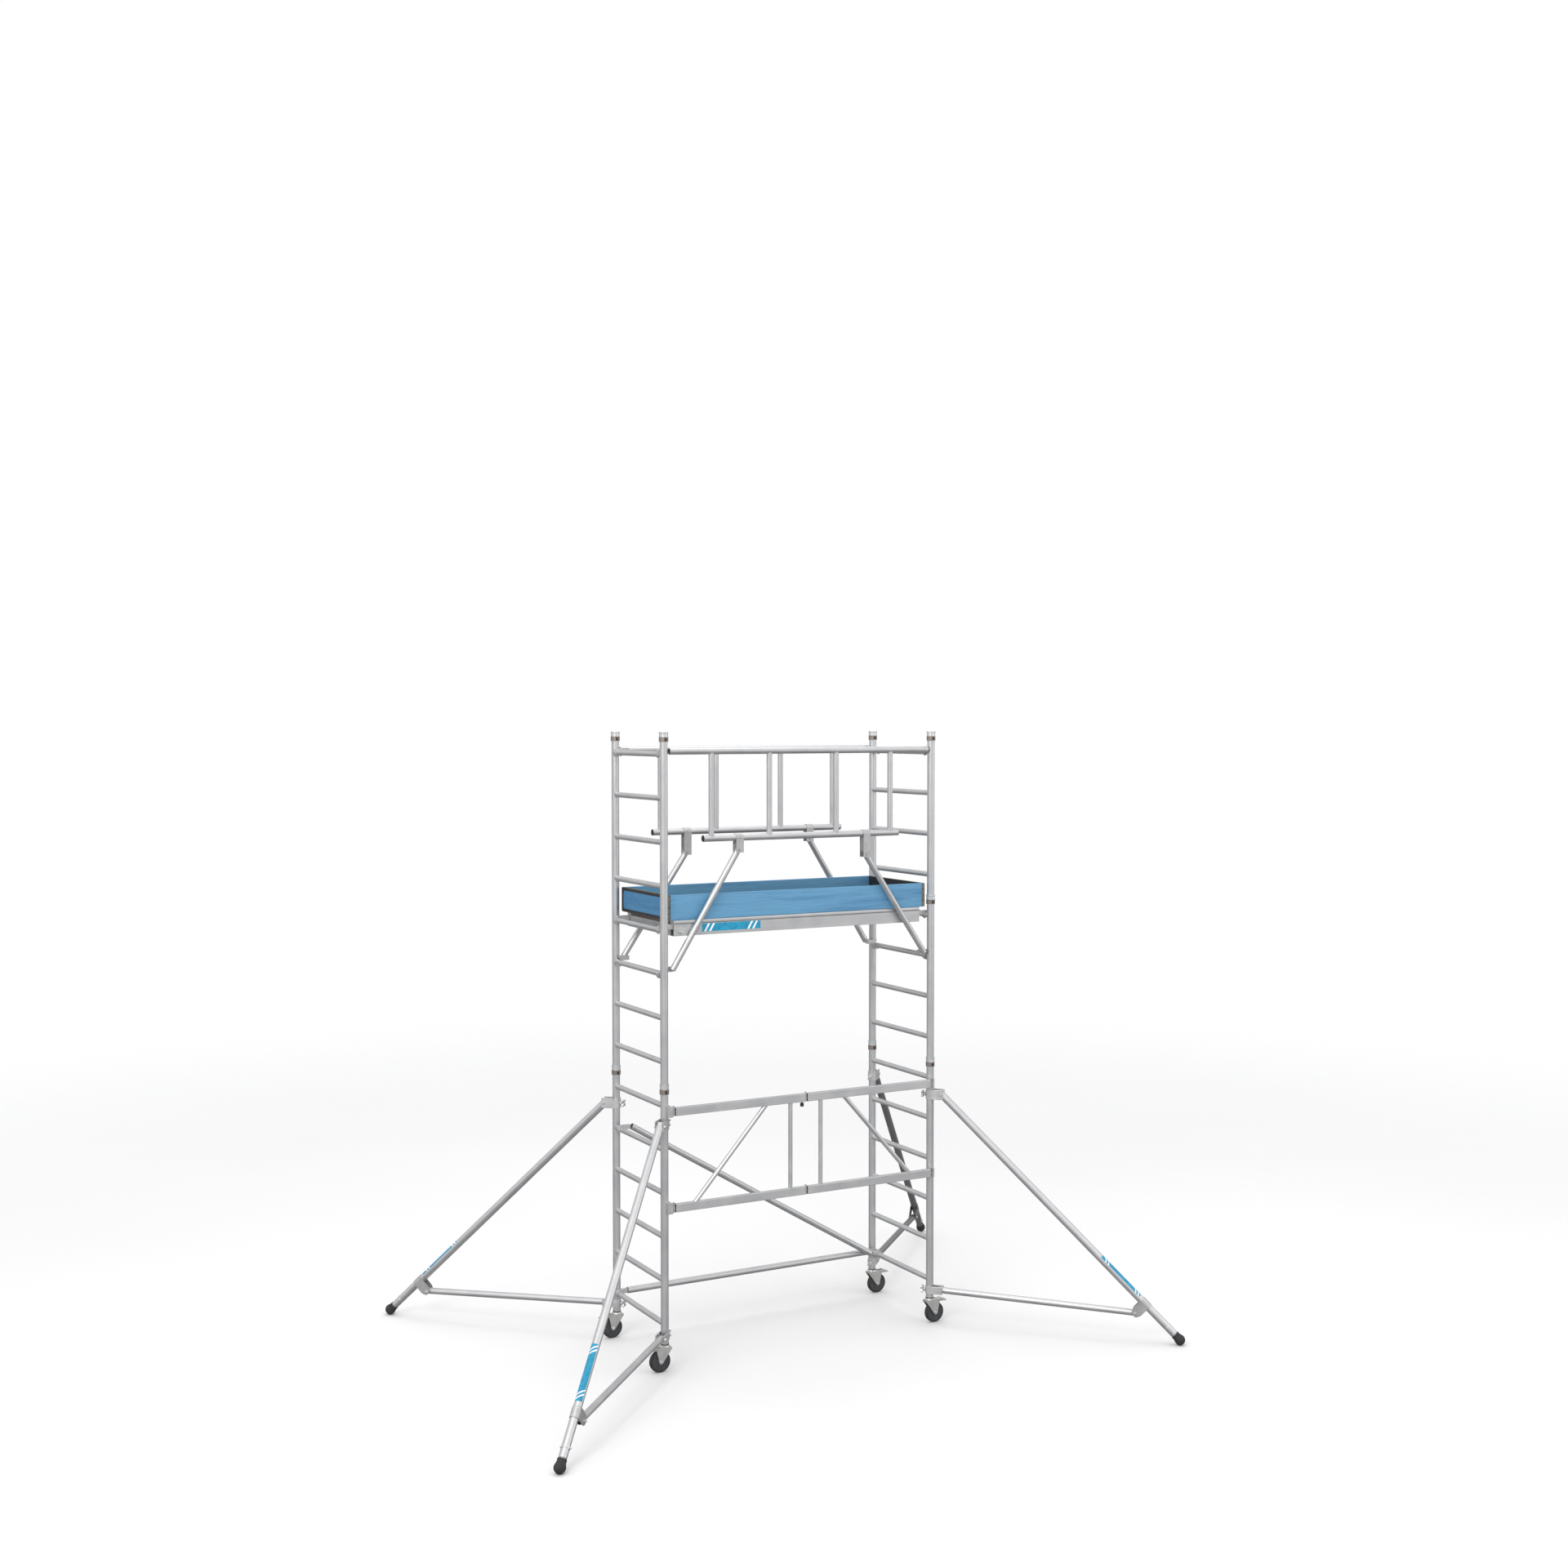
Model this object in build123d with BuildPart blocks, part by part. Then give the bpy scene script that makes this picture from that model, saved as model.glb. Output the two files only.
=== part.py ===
from build123d import *
from math import atan2, cos, hypot, sin, sqrt
import os

# Mobile aluminium scaffold tower, in millimetres. The origin is on the floor at the middle of the
# four posts, +X runs along the bay to the right, +Y to the back and +Z up. The folding gate is on
# the front (-Y) and the ladder frames close the two ends.

# ---- Driving dimensions ----
bay_length = 1800          # post centre to post centre along X
frame_width = 680          # post centre to post centre along Y
rung_pitch = 250
base_rung_count = 6
short_frame_rungs = 4
post_d = 45
rung_d = 32
wheel_d = 125
platform_rung = 9          # the rung that carries the platform, counted up from zero

post_foot = wheel_d + 35   # lower end of the posts, above the casters
lowest_rung = post_foot + 110

# ---- Tube walls and clearances ----
tube_wall = 2
plate = 4                  # pressed sheet fittings
socket_fit = 0.1           # radial, clamp or caster stem on a post
socket_clearance = 0.5     # radial, the next post's foot in a socket's mouth
running_fit = 0.06         # radial, a pin that turns in its hole
sliding_gap = 0.5          # radial, between telescoping tubes
panel_gap = 2              # around the hatch and between moving covers

post_r = post_d / 2
rung_r = rung_d / 2
half_bay = bay_length / 2
half_width = frame_width / 2
all_rungs = base_rung_count + 2 * short_frame_rungs
corners = {
    "front_left": (-1, -1),
    "front_right": (1, -1),
    "back_left": (-1, 1),
    "back_right": (1, 1),
}


def rung_height(index):
    """Height of a rung's centre; the lowest rung is number zero."""
    return lowest_rung + rung_pitch * index


def save(name, *pieces):
    """Writes one node made of the separate solids of a welded or bolted item."""
    node = Compound([solid for piece in pieces for solid in piece.part.solids()])
    node.label = name
    export_step(node, f"parts/{name}.step")


os.makedirs("parts", exist_ok=True)

# ---- Ladder frames ----
socket_rise = rung_pitch / 2           # socket mouth above the frame's top rung
socket_length = 56
socket_engagement = 30                 # how far the next frame's post goes in
socket_d = post_d + 6
band_height = 26


def joint_height(top_rung):
    """Where one frame's post ends and the next one starts, inside the socket."""
    return rung_height(top_rung) + socket_rise - socket_engagement


def ladder_frame(name, side, bottom, first_rung, rung_count):
    """A welded frame: two posts and the rungs between them, coped to the posts."""
    top = joint_height(first_rung + rung_count - 1)
    with BuildPart() as posts:
        with BuildSketch(Plane.XY.offset(bottom)):
            with Locations((side * half_bay, -half_width), (side * half_bay, half_width)):
                Circle(post_r)
                Circle(post_r - tube_wall, mode=Mode.SUBTRACT)
        extrude(amount=top - bottom)
    with BuildPart() as rungs:
        with BuildSketch(Plane.XZ.offset(-half_width)):
            for index in range(first_rung, first_rung + rung_count):
                with Locations((side * half_bay, rung_height(index))):
                    Circle(rung_r)
                    Circle(rung_r - tube_wall, mode=Mode.SUBTRACT)
        extrude(amount=frame_width)
        with Locations((side * half_bay, -half_width, 0), (side * half_bay, half_width, 0)):
            Cylinder(post_r, 2 * top, mode=Mode.SUBTRACT)
    save(name, posts, rungs)


base_joint = joint_height(base_rung_count - 1)
middle_joint = joint_height(base_rung_count + short_frame_rungs - 1)
top_joint = joint_height(all_rungs - 1)
ladder_frame("base_left_frame", -1, post_foot, 0, base_rung_count)
ladder_frame("base_right_frame", 1, post_foot, 0, base_rung_count)
ladder_frame("left_upper_frame", -1, base_joint, base_rung_count, 2 * short_frame_rungs)
ladder_frame("right_middle_frame", 1, base_joint, base_rung_count, short_frame_rungs)
ladder_frame("right_top_frame", 1, middle_joint, base_rung_count + short_frame_rungs,
             short_frame_rungs)

# ---- Sockets on the post tops, with a flared mouth ----
mouth_rise = socket_engagement
socket_foot = mouth_rise - socket_length
flare = 2
socket_places = [(x, y) for x in (-half_bay, half_bay) for y in (-half_width, half_width)]


def socket_profile():
    """Half section of one socket around its post, with its zero level at the post's end."""
    inner = post_r + socket_clearance
    outer = socket_d / 2
    with BuildLine() as outline:
        Polyline(
            (inner, 0),
            (post_r, 0),
            (post_r, socket_foot),
            (outer, socket_foot),
            (outer, mouth_rise - 8),
            (outer + flare, mouth_rise - 5),
            (outer + flare, mouth_rise),
            (inner + flare, mouth_rise),
            (inner, mouth_rise - flare),
            close=True,
        )
    return outline.line


with BuildPart() as single_socket:
    with BuildSketch(Plane.XZ):
        with BuildLine():
            add(socket_profile())
        make_face()
    revolve(axis=Axis.Z)

with BuildPart() as top_sockets:
    with Locations(*[(x, y, top_joint) for x, y in socket_places]):
        add(single_socket.part)
top_sockets.part.label = "top_sockets"
export_step(top_sockets.part, "parts/top_sockets.step")

joint_places = [(x, y, base_joint) for x, y in socket_places]
joint_places += [(half_bay, y, middle_joint) for y in (-half_width, half_width)]
with BuildPart() as joint_sockets:
    with Locations(*joint_places):
        add(single_socket.part)
joint_sockets.part.label = "joint_sockets"
export_step(joint_sockets.part, "parts/joint_sockets.step")

# ---- Interlock clips: a spring band around each socket with a raised finger tab ----
band_d = socket_d + 3
tab_width = 14
with BuildPart() as single_clip:
    with BuildSketch(Plane.XY.offset(socket_foot + 1)):
        Circle(band_d / 2)
        with Locations((0, -band_d / 2)):
            Rectangle(tab_width, 8)
        Circle(socket_d / 2, mode=Mode.SUBTRACT)
    extrude(amount=band_height)
    with BuildSketch(Plane.XY.offset(socket_foot + 1)):
        with Locations((0, band_d / 2)):
            Rectangle(3, 10)
    extrude(amount=band_height, mode=Mode.SUBTRACT)
clip_places = joint_places + [(x, y, top_joint) for x, y in socket_places]
with BuildPart() as interlock_clips:
    with Locations(*clip_places):
        add(single_clip.part)
interlock_clips.part.label = "interlock_clips"
export_step(interlock_clips.part, "parts/interlock_clips.step")

# ---- Casters ----
wheel_r = wheel_d / 2
wheel_width = 32
tyre_depth = 18
axle_r = 5
kingpin_r = 7
trail = 32                              # wheel axle outboard of the post
fork_top = post_foot - 8
crown_height = 12
crown_foot = wheel_d + 6
leg_inner = wheel_width / 2 + 4
fork_plate = 4
pedal_pivot = (trail + 20, crown_foot + 3)
pedal_pin_r = 3.5
pedal_tip = (trail + 80, crown_foot - 2)

with BuildPart() as single_stem:
    with BuildSketch(Plane.XZ):
        with BuildLine():
            Polyline(
                (0, crown_foot + 1),
                (kingpin_r, crown_foot + 1),
                (kingpin_r, fork_top + 1),
                (post_r + 1, fork_top + 1),
                (post_r + 1, post_foot),
                (post_r - tube_wall - socket_fit, post_foot),
                (post_r - tube_wall - socket_fit, post_foot + 50),
                (0, post_foot + 50),
                close=True,
            )
        make_face()
    revolve(axis=Axis.Z)
with BuildPart() as caster_stems:
    with GridLocations(bay_length, frame_width, 2, 2):
        add(single_stem.part)
caster_stems.part.label = "caster_stems"
export_step(caster_stems.part, "parts/caster_stems.step")


def caster(corner, side_x, side_y):
    """One swivel caster, its wheel trailing outboard along X."""
    post_x, post_y = side_x * half_bay, side_y * half_width
    # Side view of the caster: x runs outboard from the post, y is height.
    side_view = Plane(origin=(post_x, post_y, 0), x_dir=(side_x, 0, 0), z_dir=(0, -side_x, 0))

    with BuildPart() as fork:
        with BuildSketch(side_view.offset(-leg_inner - fork_plate)):
            with Locations((2, crown_foot + crown_height / 2)):
                Rectangle(76, crown_height - 4)
            with Locations(pedal_pivot):
                Circle(9)
            with Locations((trail, wheel_r)):
                Circle(13)
            make_hull()
        extrude(amount=2 * (leg_inner + fork_plate))
        with BuildSketch(side_view.offset(-leg_inner)):
            with Locations((trail, crown_foot - wheel_r)):
                Rectangle(4 * wheel_r, 2 * wheel_r)
            with Locations((trail + 36, crown_foot + crown_height / 2)):
                Rectangle(48, 3 * crown_height)
        extrude(amount=2 * leg_inner, mode=Mode.SUBTRACT)
        # Ball-race housing on top of the crown, with the hole for the kingpin.
        with BuildSketch(Plane(origin=(post_x, post_y, crown_foot + crown_height - 3))):
            Circle(30)
        extrude(amount=fork_top - crown_foot - crown_height + 3, taper=20)
        with BuildSketch(Plane(origin=(post_x, post_y, crown_foot - 10))):
            Circle(kingpin_r + running_fit)
        extrude(amount=60, mode=Mode.SUBTRACT)
        with BuildSketch(side_view.offset(-leg_inner - fork_plate)):
            with Locations(pedal_pivot):
                Circle(pedal_pin_r + running_fit)
        extrude(amount=2 * (leg_inner + fork_plate), mode=Mode.SUBTRACT)
        # Axle bolt with its head and nut.
        with BuildSketch(side_view.offset(-leg_inner - fork_plate - 8)):
            with Locations((trail, wheel_r)):
                Circle(axle_r)
        extrude(amount=2 * (leg_inner + fork_plate + 8))
        for face_offset in (-leg_inner - fork_plate - 6, leg_inner + fork_plate):
            with BuildSketch(side_view.offset(face_offset)):
                with Locations((trail, wheel_r)):
                    RegularPolygon(9, 6)
            extrude(amount=6)
    fork.part.label = f"{corner}_caster_fork"
    export_step(fork.part, f"parts/{corner}_caster_fork.step")

    with BuildPart() as tyre:
        with BuildSketch(side_view.offset(-wheel_width / 2)):
            with Locations((trail, wheel_r)):
                Circle(wheel_r)
                Circle(wheel_r - tyre_depth, mode=Mode.SUBTRACT)
        extrude(amount=wheel_width)
        rims = tyre.edges().filter_by(GeomType.CIRCLE).sort_by(SortBy.RADIUS)[-2:]
        fillet(rims, radius=7)
    with BuildPart() as hub:
        with BuildSketch(side_view.offset(-wheel_width / 2 + 2)):
            with Locations((trail, wheel_r)):
                Circle(wheel_r - tyre_depth)
        extrude(amount=wheel_width - 4)
        with BuildSketch(side_view.offset(-wheel_width / 2 - 2)):
            with Locations((trail, wheel_r)):
                Circle(15)
        extrude(amount=wheel_width + 4)
        with BuildSketch(side_view.offset(-wheel_width)):
            with Locations((trail, wheel_r)):
                Circle(axle_r + running_fit)
        extrude(amount=2 * wheel_width, mode=Mode.SUBTRACT)
    save(f"{corner}_caster_wheel", tyre, hub)

    with BuildPart() as pedal:
        with BuildSketch(side_view.offset(-leg_inner - fork_plate)):
            with Locations(pedal_pivot):
                Circle(pedal_pin_r)
        extrude(amount=2 * (leg_inner + fork_plate))
        with BuildSketch(side_view.offset(-leg_inner + 2)):
            with Locations(pedal_pivot):
                Circle(7)
            with Locations((pedal_pivot[0] + 24, pedal_pivot[1] + 7)):
                Circle(5)
            with Locations(pedal_tip):
                Circle(3)
            make_hull()
        extrude(amount=2 * leg_inner - 4)
    pedal.part.label = f"{corner}_caster_brake_pedal"
    export_step(pedal.part, f"parts/{corner}_caster_brake_pedal.step")


for corner, (side_x, side_y) in corners.items():
    caster(corner, side_x, side_y)

# ---- Stabilisers ----
# Measured outward from the post's axis (r) and up from the floor (z).
arm_d = 45
base_top_rung = rung_height(base_rung_count - 1)
gate_top = base_top_rung - 29          # centre of the gate's top rail
leg_d = arm_d - 2 * tube_wall - 2 * sliding_gap
strut_d = 38
foot_ball_r = 32
arm_pivot = (post_r + 49.5, gate_top - 73)
foot_centre = (1515, foot_ball_r)
arm_run = hypot(foot_centre[0] - arm_pivot[0], foot_centre[1] - arm_pivot[1])
arm_tilt = atan2(arm_pivot[1] - foot_centre[1], foot_centre[0] - arm_pivot[0])
arm_end = arm_run - 46                  # lower end of the outer tube
stud_along = arm_run - 103              # locking studs, measured down the arm
leg_overlap = 350
foot_sleeve_length = 42
bracket_along = arm_run - 285           # bracket's middle, measured down the arm
bracket_length = 62
bracket_drop = 80                       # strut bolt below the arm's axis
clamp_height = 60
lower_clamp_height = 46
lower_clamp_z = post_foot + 46
strut_root = 76
clamp_outer = post_r + plate + 1
bolt_r = 5
knob_gap = 3


def along_arm(distance, drop=0):
    """A point in the (r, z) plane, down the arm and at right angles below it."""
    down = (cos(arm_tilt), -sin(arm_tilt))
    below = (-sin(arm_tilt), -cos(arm_tilt))
    return (arm_pivot[0] + distance * down[0] + drop * below[0],
            arm_pivot[1] + distance * down[1] + drop * below[1])


strut_pivot = along_arm(bracket_along, bracket_drop)


def stabiliser(corner, side_x, side_y):
    """A swing-out stabiliser clamped to its post, pointing away from the tower at 45 degrees."""
    post_x, post_y = side_x * half_bay, side_y * half_width
    out_x, out_y = side_x * sqrt(0.5), side_y * sqrt(0.5)
    # Side view: x runs outward from the post, y is height, z is across the arm.
    side_view = Plane(origin=(post_x, post_y, 0), x_dir=(out_x, out_y, 0), z_dir=(out_y, -out_x, 0))

    def arm_plane(distance):
        """The plane square to the arm at a distance down it."""
        r, z = along_arm(distance)
        direction = (out_x * cos(arm_tilt), out_y * cos(arm_tilt), -sin(arm_tilt))
        return Plane(origin=side_view.from_local_coords((r, z, 0)), x_dir=side_view.z_dir, z_dir=direction)

    def bolt(place, half_grip):
        """A hexagon bolt across the arm, with its nut."""
        with BuildPart() as fastener:
            with BuildSketch(side_view.offset(-half_grip - 3)):
                with Locations(place):
                    Circle(bolt_r)
            extrude(amount=2 * half_grip + 6)
            for face_offset in (-half_grip - 6, half_grip):
                with BuildSketch(side_view.offset(face_offset)):
                    with Locations(place):
                        RegularPolygon(9, 6)
                extrude(amount=6)
        return fastener

    def clamp(level, height, reach):
        """A collar around the post with two cheeks that hold a tube's end."""
        with BuildPart() as body:
            with BuildSketch(Plane(origin=(post_x, post_y, level - height / 2), x_dir=(out_x, out_y, 0))):
                Circle(clamp_outer)
                with Locations((reach / 2, 0)):
                    Rectangle(reach, 2 * clamp_outer)
                with Locations((-clamp_outer - knob_gap, 0)):
                    Rectangle(14, 20)
                with Locations((reach / 2 + clamp_outer + 4, 0)):
                    Rectangle(reach, 2 * (clamp_outer - plate), mode=Mode.SUBTRACT)
                Circle(post_r + socket_fit, mode=Mode.SUBTRACT)
            extrude(amount=height)
            with BuildSketch(side_view.offset(-2 * clamp_outer)):
                with Locations((arm_pivot[0], level)):
                    Circle(bolt_r)
            extrude(amount=4 * clamp_outer, mode=Mode.SUBTRACT)
            with BuildSketch(Plane(origin=side_view.from_local_coords((-post_r, level, 0)),
                                   z_dir=(-out_x, -out_y, 0))):
                Circle(bolt_r - 1 + running_fit)
            extrude(amount=40, mode=Mode.SUBTRACT)
        return body

    upper_clamp = clamp(arm_pivot[1], clamp_height, arm_pivot[0] + 14)
    lower_clamp = clamp(lower_clamp_z, lower_clamp_height, strut_root + 10)

    with BuildPart() as outer_tube:
        with BuildSketch(arm_plane(-18)):
            Circle(arm_d / 2)
            Circle(arm_d / 2 - tube_wall, mode=Mode.SUBTRACT)
        extrude(amount=arm_end + 18)
        with BuildSketch(side_view.offset(-arm_d)):
            with Locations(arm_pivot):
                Circle(bolt_r)
        extrude(amount=2 * arm_d, mode=Mode.SUBTRACT)

    # Pressed U bracket that wraps over the outer tube and carries the strut's bolt.
    half_bracket = arm_d / 2 + plate
    with BuildPart() as bracket:
        with BuildSketch(arm_plane(bracket_along - bracket_length / 2)):
            Circle(half_bracket)
            with Locations((0, bracket_drop / 2)):
                Rectangle(2 * half_bracket, bracket_drop)
            Circle(arm_d / 2, mode=Mode.SUBTRACT)
            with Locations((0, bracket_drop / 2)):
                Rectangle(arm_d, bracket_drop, mode=Mode.SUBTRACT)
        extrude(amount=bracket_length)
        with BuildSketch(side_view.offset(-half_bracket)):
            with Locations(strut_pivot):
                Circle(19)
        extrude(amount=2 * half_bracket)
        with BuildSketch(side_view.offset(-arm_d / 2)):
            with Locations(strut_pivot):
                Circle(30)
        extrude(amount=arm_d, mode=Mode.SUBTRACT)
        with BuildSketch(side_view.offset(-half_bracket)):
            with Locations(strut_pivot):
                Circle(bolt_r)
        extrude(amount=2 * half_bracket, mode=Mode.SUBTRACT)
        with BuildSketch(arm_plane(bracket_along - bracket_length)):
            Circle(arm_d / 2)
        extrude(amount=2 * bracket_length, mode=Mode.SUBTRACT)

    # Strut from the bracket back to the foot of the post.
    root = side_view.from_local_coords((arm_pivot[0], lower_clamp_z, 0))
    tip = side_view.from_local_coords((*strut_pivot, 0))
    run = tip - root
    with BuildPart() as strut:
        with BuildSketch(Plane(origin=root - run.normalized() * 12, z_dir=run)):
            Circle(strut_d / 2)
            Circle(strut_d / 2 - tube_wall, mode=Mode.SUBTRACT)
        extrude(amount=run.length + 24)
        with BuildSketch(side_view.offset(-strut_d)):
            with Locations(strut_pivot, (arm_pivot[0], lower_clamp_z)):
                Circle(bolt_r)
        extrude(amount=2 * strut_d, mode=Mode.SUBTRACT)

    # Spring clip near the end of the outer tube, with a stud on each side.
    with BuildPart() as clip:
        with BuildSketch(arm_plane(stud_along - 6)):
            Circle(arm_d / 2 + 2)
            Circle(arm_d / 2, mode=Mode.SUBTRACT)
            with Locations((0, arm_d / 2)):
                Rectangle(30, arm_d / 2, mode=Mode.SUBTRACT)
        extrude(amount=12)
        with BuildSketch(side_view.offset(-arm_d / 2 - 8)):
            with Locations(along_arm(stud_along)):
                Circle(6)
        extrude(amount=arm_d + 16)
        with BuildSketch(arm_plane(stud_along - 20)):
            Circle(arm_d / 2)
        extrude(amount=40, mode=Mode.SUBTRACT)
    save(f"{corner}_stabiliser_arm", outer_tube, strut, bracket, upper_clamp, lower_clamp, clip,
         bolt(arm_pivot, clamp_outer), bolt(strut_pivot, half_bracket),
         bolt((arm_pivot[0], lower_clamp_z), clamp_outer))

    with BuildPart() as leg:
        with BuildSketch(arm_plane(arm_end - leg_overlap)):
            Circle(leg_d / 2)
            Circle(leg_d / 2 - tube_wall, mode=Mode.SUBTRACT)
        extrude(amount=arm_run - arm_end + leg_overlap - 8)
    leg.part.label = f"{corner}_stabiliser_leg"
    export_step(leg.part, f"parts/{corner}_stabiliser_leg.step")

    with BuildPart() as foot:
        with BuildSketch(arm_plane(arm_run - foot_sleeve_length)):
            Circle(leg_d / 2 + 5)
        extrude(amount=foot_sleeve_length)
        with Locations(arm_plane(arm_run)):
            Sphere(foot_ball_r)
        with BuildSketch(arm_plane(arm_run - foot_sleeve_length)):
            Circle(leg_d / 2)
        extrude(amount=foot_sleeve_length - 8, mode=Mode.SUBTRACT)
    foot.part.label = f"{corner}_stabiliser_foot"
    export_step(foot.part, f"parts/{corner}_stabiliser_foot.step")

    for place, level in (("upper", arm_pivot[1]), ("lower", lower_clamp_z)):
        # Four-armed star knob on a clamp bolt, facing in towards the tower.
        boss_end = clamp_outer + knob_gap + 7
        face = Plane(origin=side_view.from_local_coords((-boss_end - 0.5, level, 0)),
                     x_dir=(0, 0, 1), z_dir=(-out_x, -out_y, 0))
        with BuildPart() as knob:
            with BuildSketch(face.offset(2)):
                Circle(8)
                with PolarLocations(0, 4, start_angle=45):
                    with Locations((15, 0)):
                        SlotCenterToCenter(14, 8)
            extrude(amount=14)
            with BuildSketch(face):
                Circle(9)
            extrude(amount=6)
            with BuildSketch(face.offset(-boss_end + post_r + 1)):
                Circle(bolt_r - 1)
            extrude(amount=boss_end - post_r + 20)
        knob.part.label = f"{corner}_stabiliser_{place}_knob"
        export_step(knob.part, f"parts/{corner}_stabiliser_{place}_knob.step")


for corner, (side_x, side_y) in corners.items():
    stabiliser(corner, side_x, side_y)

# ---- Folding gate across the front of the base ----
rail_height = 48
rail_depth = 26
gate_bottom = rung_height(base_rung_count - 3) - 80
gate_front = half_width + post_r + 1 + rail_depth
gate_y = -(gate_front - rail_depth / 2)
hinge_half_gap = 9
gate_left_end = -(half_bay - 50)
gate_right_end = half_bay - 32
upright_x = 102
upright_d = 25
diagonal_d = 26
diagonal_top_x = 248
diagonal_bottom_x = half_bay - 159
hinge_pin_r = 4
knuckle_r = 8
gate_middle = (gate_top + gate_bottom) / 2
clear_height = gate_top - gate_bottom - rail_height


def gate_rails(start, end):
    """The top and bottom rectangular tubes of one leaf."""
    middle = (start + end) / 2
    with BuildPart() as rails:
        with BuildSketch(Plane.YZ.offset(start)):
            with Locations((gate_y, gate_top), (gate_y, gate_bottom)):
                RectangleRounded(rail_depth, rail_height, 3)
                Rectangle(rail_depth - 2 * tube_wall, rail_height - 2 * tube_wall, mode=Mode.SUBTRACT)
        extrude(amount=end - start)
        if start < 0 and end < 0:
            # Hole for the latch button's plunger.
            with Locations((-24, gate_y, gate_top - rail_height / 2)):
                Cylinder(4 + running_fit, 3 * tube_wall, mode=Mode.SUBTRACT)
    return rails


def gate_tubes(side):
    """The upright and the diagonal between a leaf's rails."""
    with BuildPart() as upright:
        with BuildSketch(Plane.XY.offset(gate_bottom + rail_height / 2)):
            with Locations((side * upright_x, gate_y)):
                Circle(upright_d / 2)
                Circle(upright_d / 2 - tube_wall, mode=Mode.SUBTRACT)
        extrude(amount=clear_height)
    top = Vector(side * diagonal_top_x, gate_y, gate_top)
    bottom = Vector(side * diagonal_bottom_x, gate_y, gate_bottom)
    with BuildPart() as diagonal:
        with BuildSketch(Plane(origin=bottom, z_dir=top - bottom)):
            Circle(diagonal_d / 2)
            Circle(diagonal_d / 2 - tube_wall, mode=Mode.SUBTRACT)
        extrude(amount=(top - bottom).length)
        with Locations((0, gate_y, gate_middle)):
            Box(bay_length, frame_width, clear_height, mode=Mode.INTERSECT)
    return upright, diagonal


def hinge_knuckles(pin_x, rail_end, levels, height):
    """Knuckles around a vertical pin, each joined to a rail's end by a flat tongue."""
    reach = rail_end - pin_x
    with BuildPart() as knuckles:
        for level in levels:
            with BuildSketch(Plane(origin=(pin_x, gate_y, level - height / 2))):
                Circle(knuckle_r)
                with Locations((reach / 2, 0)):
                    Rectangle(abs(reach), 10)
                Circle(hinge_pin_r, mode=Mode.SUBTRACT)
            extrude(amount=height)
    return knuckles


outer_levels = [level + lift for level in (gate_top, gate_bottom) for lift in (-17, 17)]
inner_levels = [gate_top, gate_bottom]
left_pin_x = gate_left_end - hinge_half_gap
right_pin_x = gate_right_end + hinge_half_gap
save("gate_left_leaf",
     gate_rails(gate_left_end, -hinge_half_gap), *gate_tubes(-1),
     hinge_knuckles(left_pin_x, gate_left_end, inner_levels, 20),
     hinge_knuckles(0, -hinge_half_gap, outer_levels, 12))
save("gate_right_leaf",
     gate_rails(hinge_half_gap, gate_right_end), *gate_tubes(1),
     hinge_knuckles(0, hinge_half_gap, inner_levels, 20),
     hinge_knuckles(right_pin_x, gate_right_end, outer_levels, 12))

# Lugs welded to the front posts; the right pair has a slot where the gate's end hooks in.
lug_height = 60
lug_back = half_width - 8


def gate_lugs(side, pin_x):
    """One post's two lugs, each reaching from the post towards its hinge pin."""
    near = side * half_bay
    far = pin_x + side * (knuckle_r + 2)
    with BuildPart() as lugs:
        for level in (gate_top, gate_bottom):
            with BuildSketch(Plane.XY.offset(level - lug_height / 2)):
                with Locations(((near + far) / 2, -(gate_front + lug_back) / 2)):
                    Rectangle(abs(near - far), gate_front - lug_back)
                with Locations((near, -half_width)):
                    Circle(post_r, mode=Mode.SUBTRACT)
            extrude(amount=lug_height)
    return lugs


def lug_knuckles(pin_x, side, levels, height):
    """Knuckles that join a lug to its hinge pin."""
    return hinge_knuckles(pin_x, pin_x + side * (knuckle_r + 2), levels, height)


save("gate_post_lugs",
     gate_lugs(-1, left_pin_x), lug_knuckles(left_pin_x, -1, outer_levels, 12),
     gate_lugs(1, right_pin_x), lug_knuckles(right_pin_x, 1, inner_levels, 20))

pin_length = rail_height + 6
with BuildPart() as gate_hinge_pins:
    for level in (gate_top, gate_bottom):
        with Locations(*[(x, gate_y, level) for x in (left_pin_x, 0, right_pin_x)]):
            Cylinder(hinge_pin_r, pin_length)
        with Locations(*[(x, gate_y, level + pin_length / 2) for x in (left_pin_x, 0, right_pin_x)]):
            Cylinder(7, 5, align=(Align.CENTER, Align.CENTER, Align.MIN))
gate_hinge_pins.part.label = "gate_hinge_pins"
export_step(gate_hinge_pins.part, "parts/gate_hinge_pins.step")

# Sprung button under the top rail, beside the middle hinge.
button_x = -24
button_travel = 6
button_gap = button_travel + 2
rail_underside = gate_top - rail_height / 2
with BuildPart() as gate_latch_button:
    with BuildSketch(Plane(origin=(button_x, gate_y, rail_underside - button_gap - 20))):
        Circle(11)
    extrude(amount=20)
    fillet(gate_latch_button.edges().group_by(Axis.Z)[0], radius=3)
    with BuildSketch(Plane(origin=(button_x, gate_y, rail_underside - button_gap))):
        Circle(4)
    extrude(amount=button_gap + 12)
gate_latch_button.part.label = "gate_latch_button"
export_step(gate_latch_button.part, "parts/gate_latch_button.step")

# ---- Claws that hook over the rungs ----
claw_fit = 0.2
claw_width = 26
claw_inner = half_width - post_r - 5 - claw_width     # |y| of the claw's inboard face
claw_middle = claw_inner + claw_width / 2
claw_r = rung_r + 11
claw_tail = half_bay - 64                             # where a claw joins its tube


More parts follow.
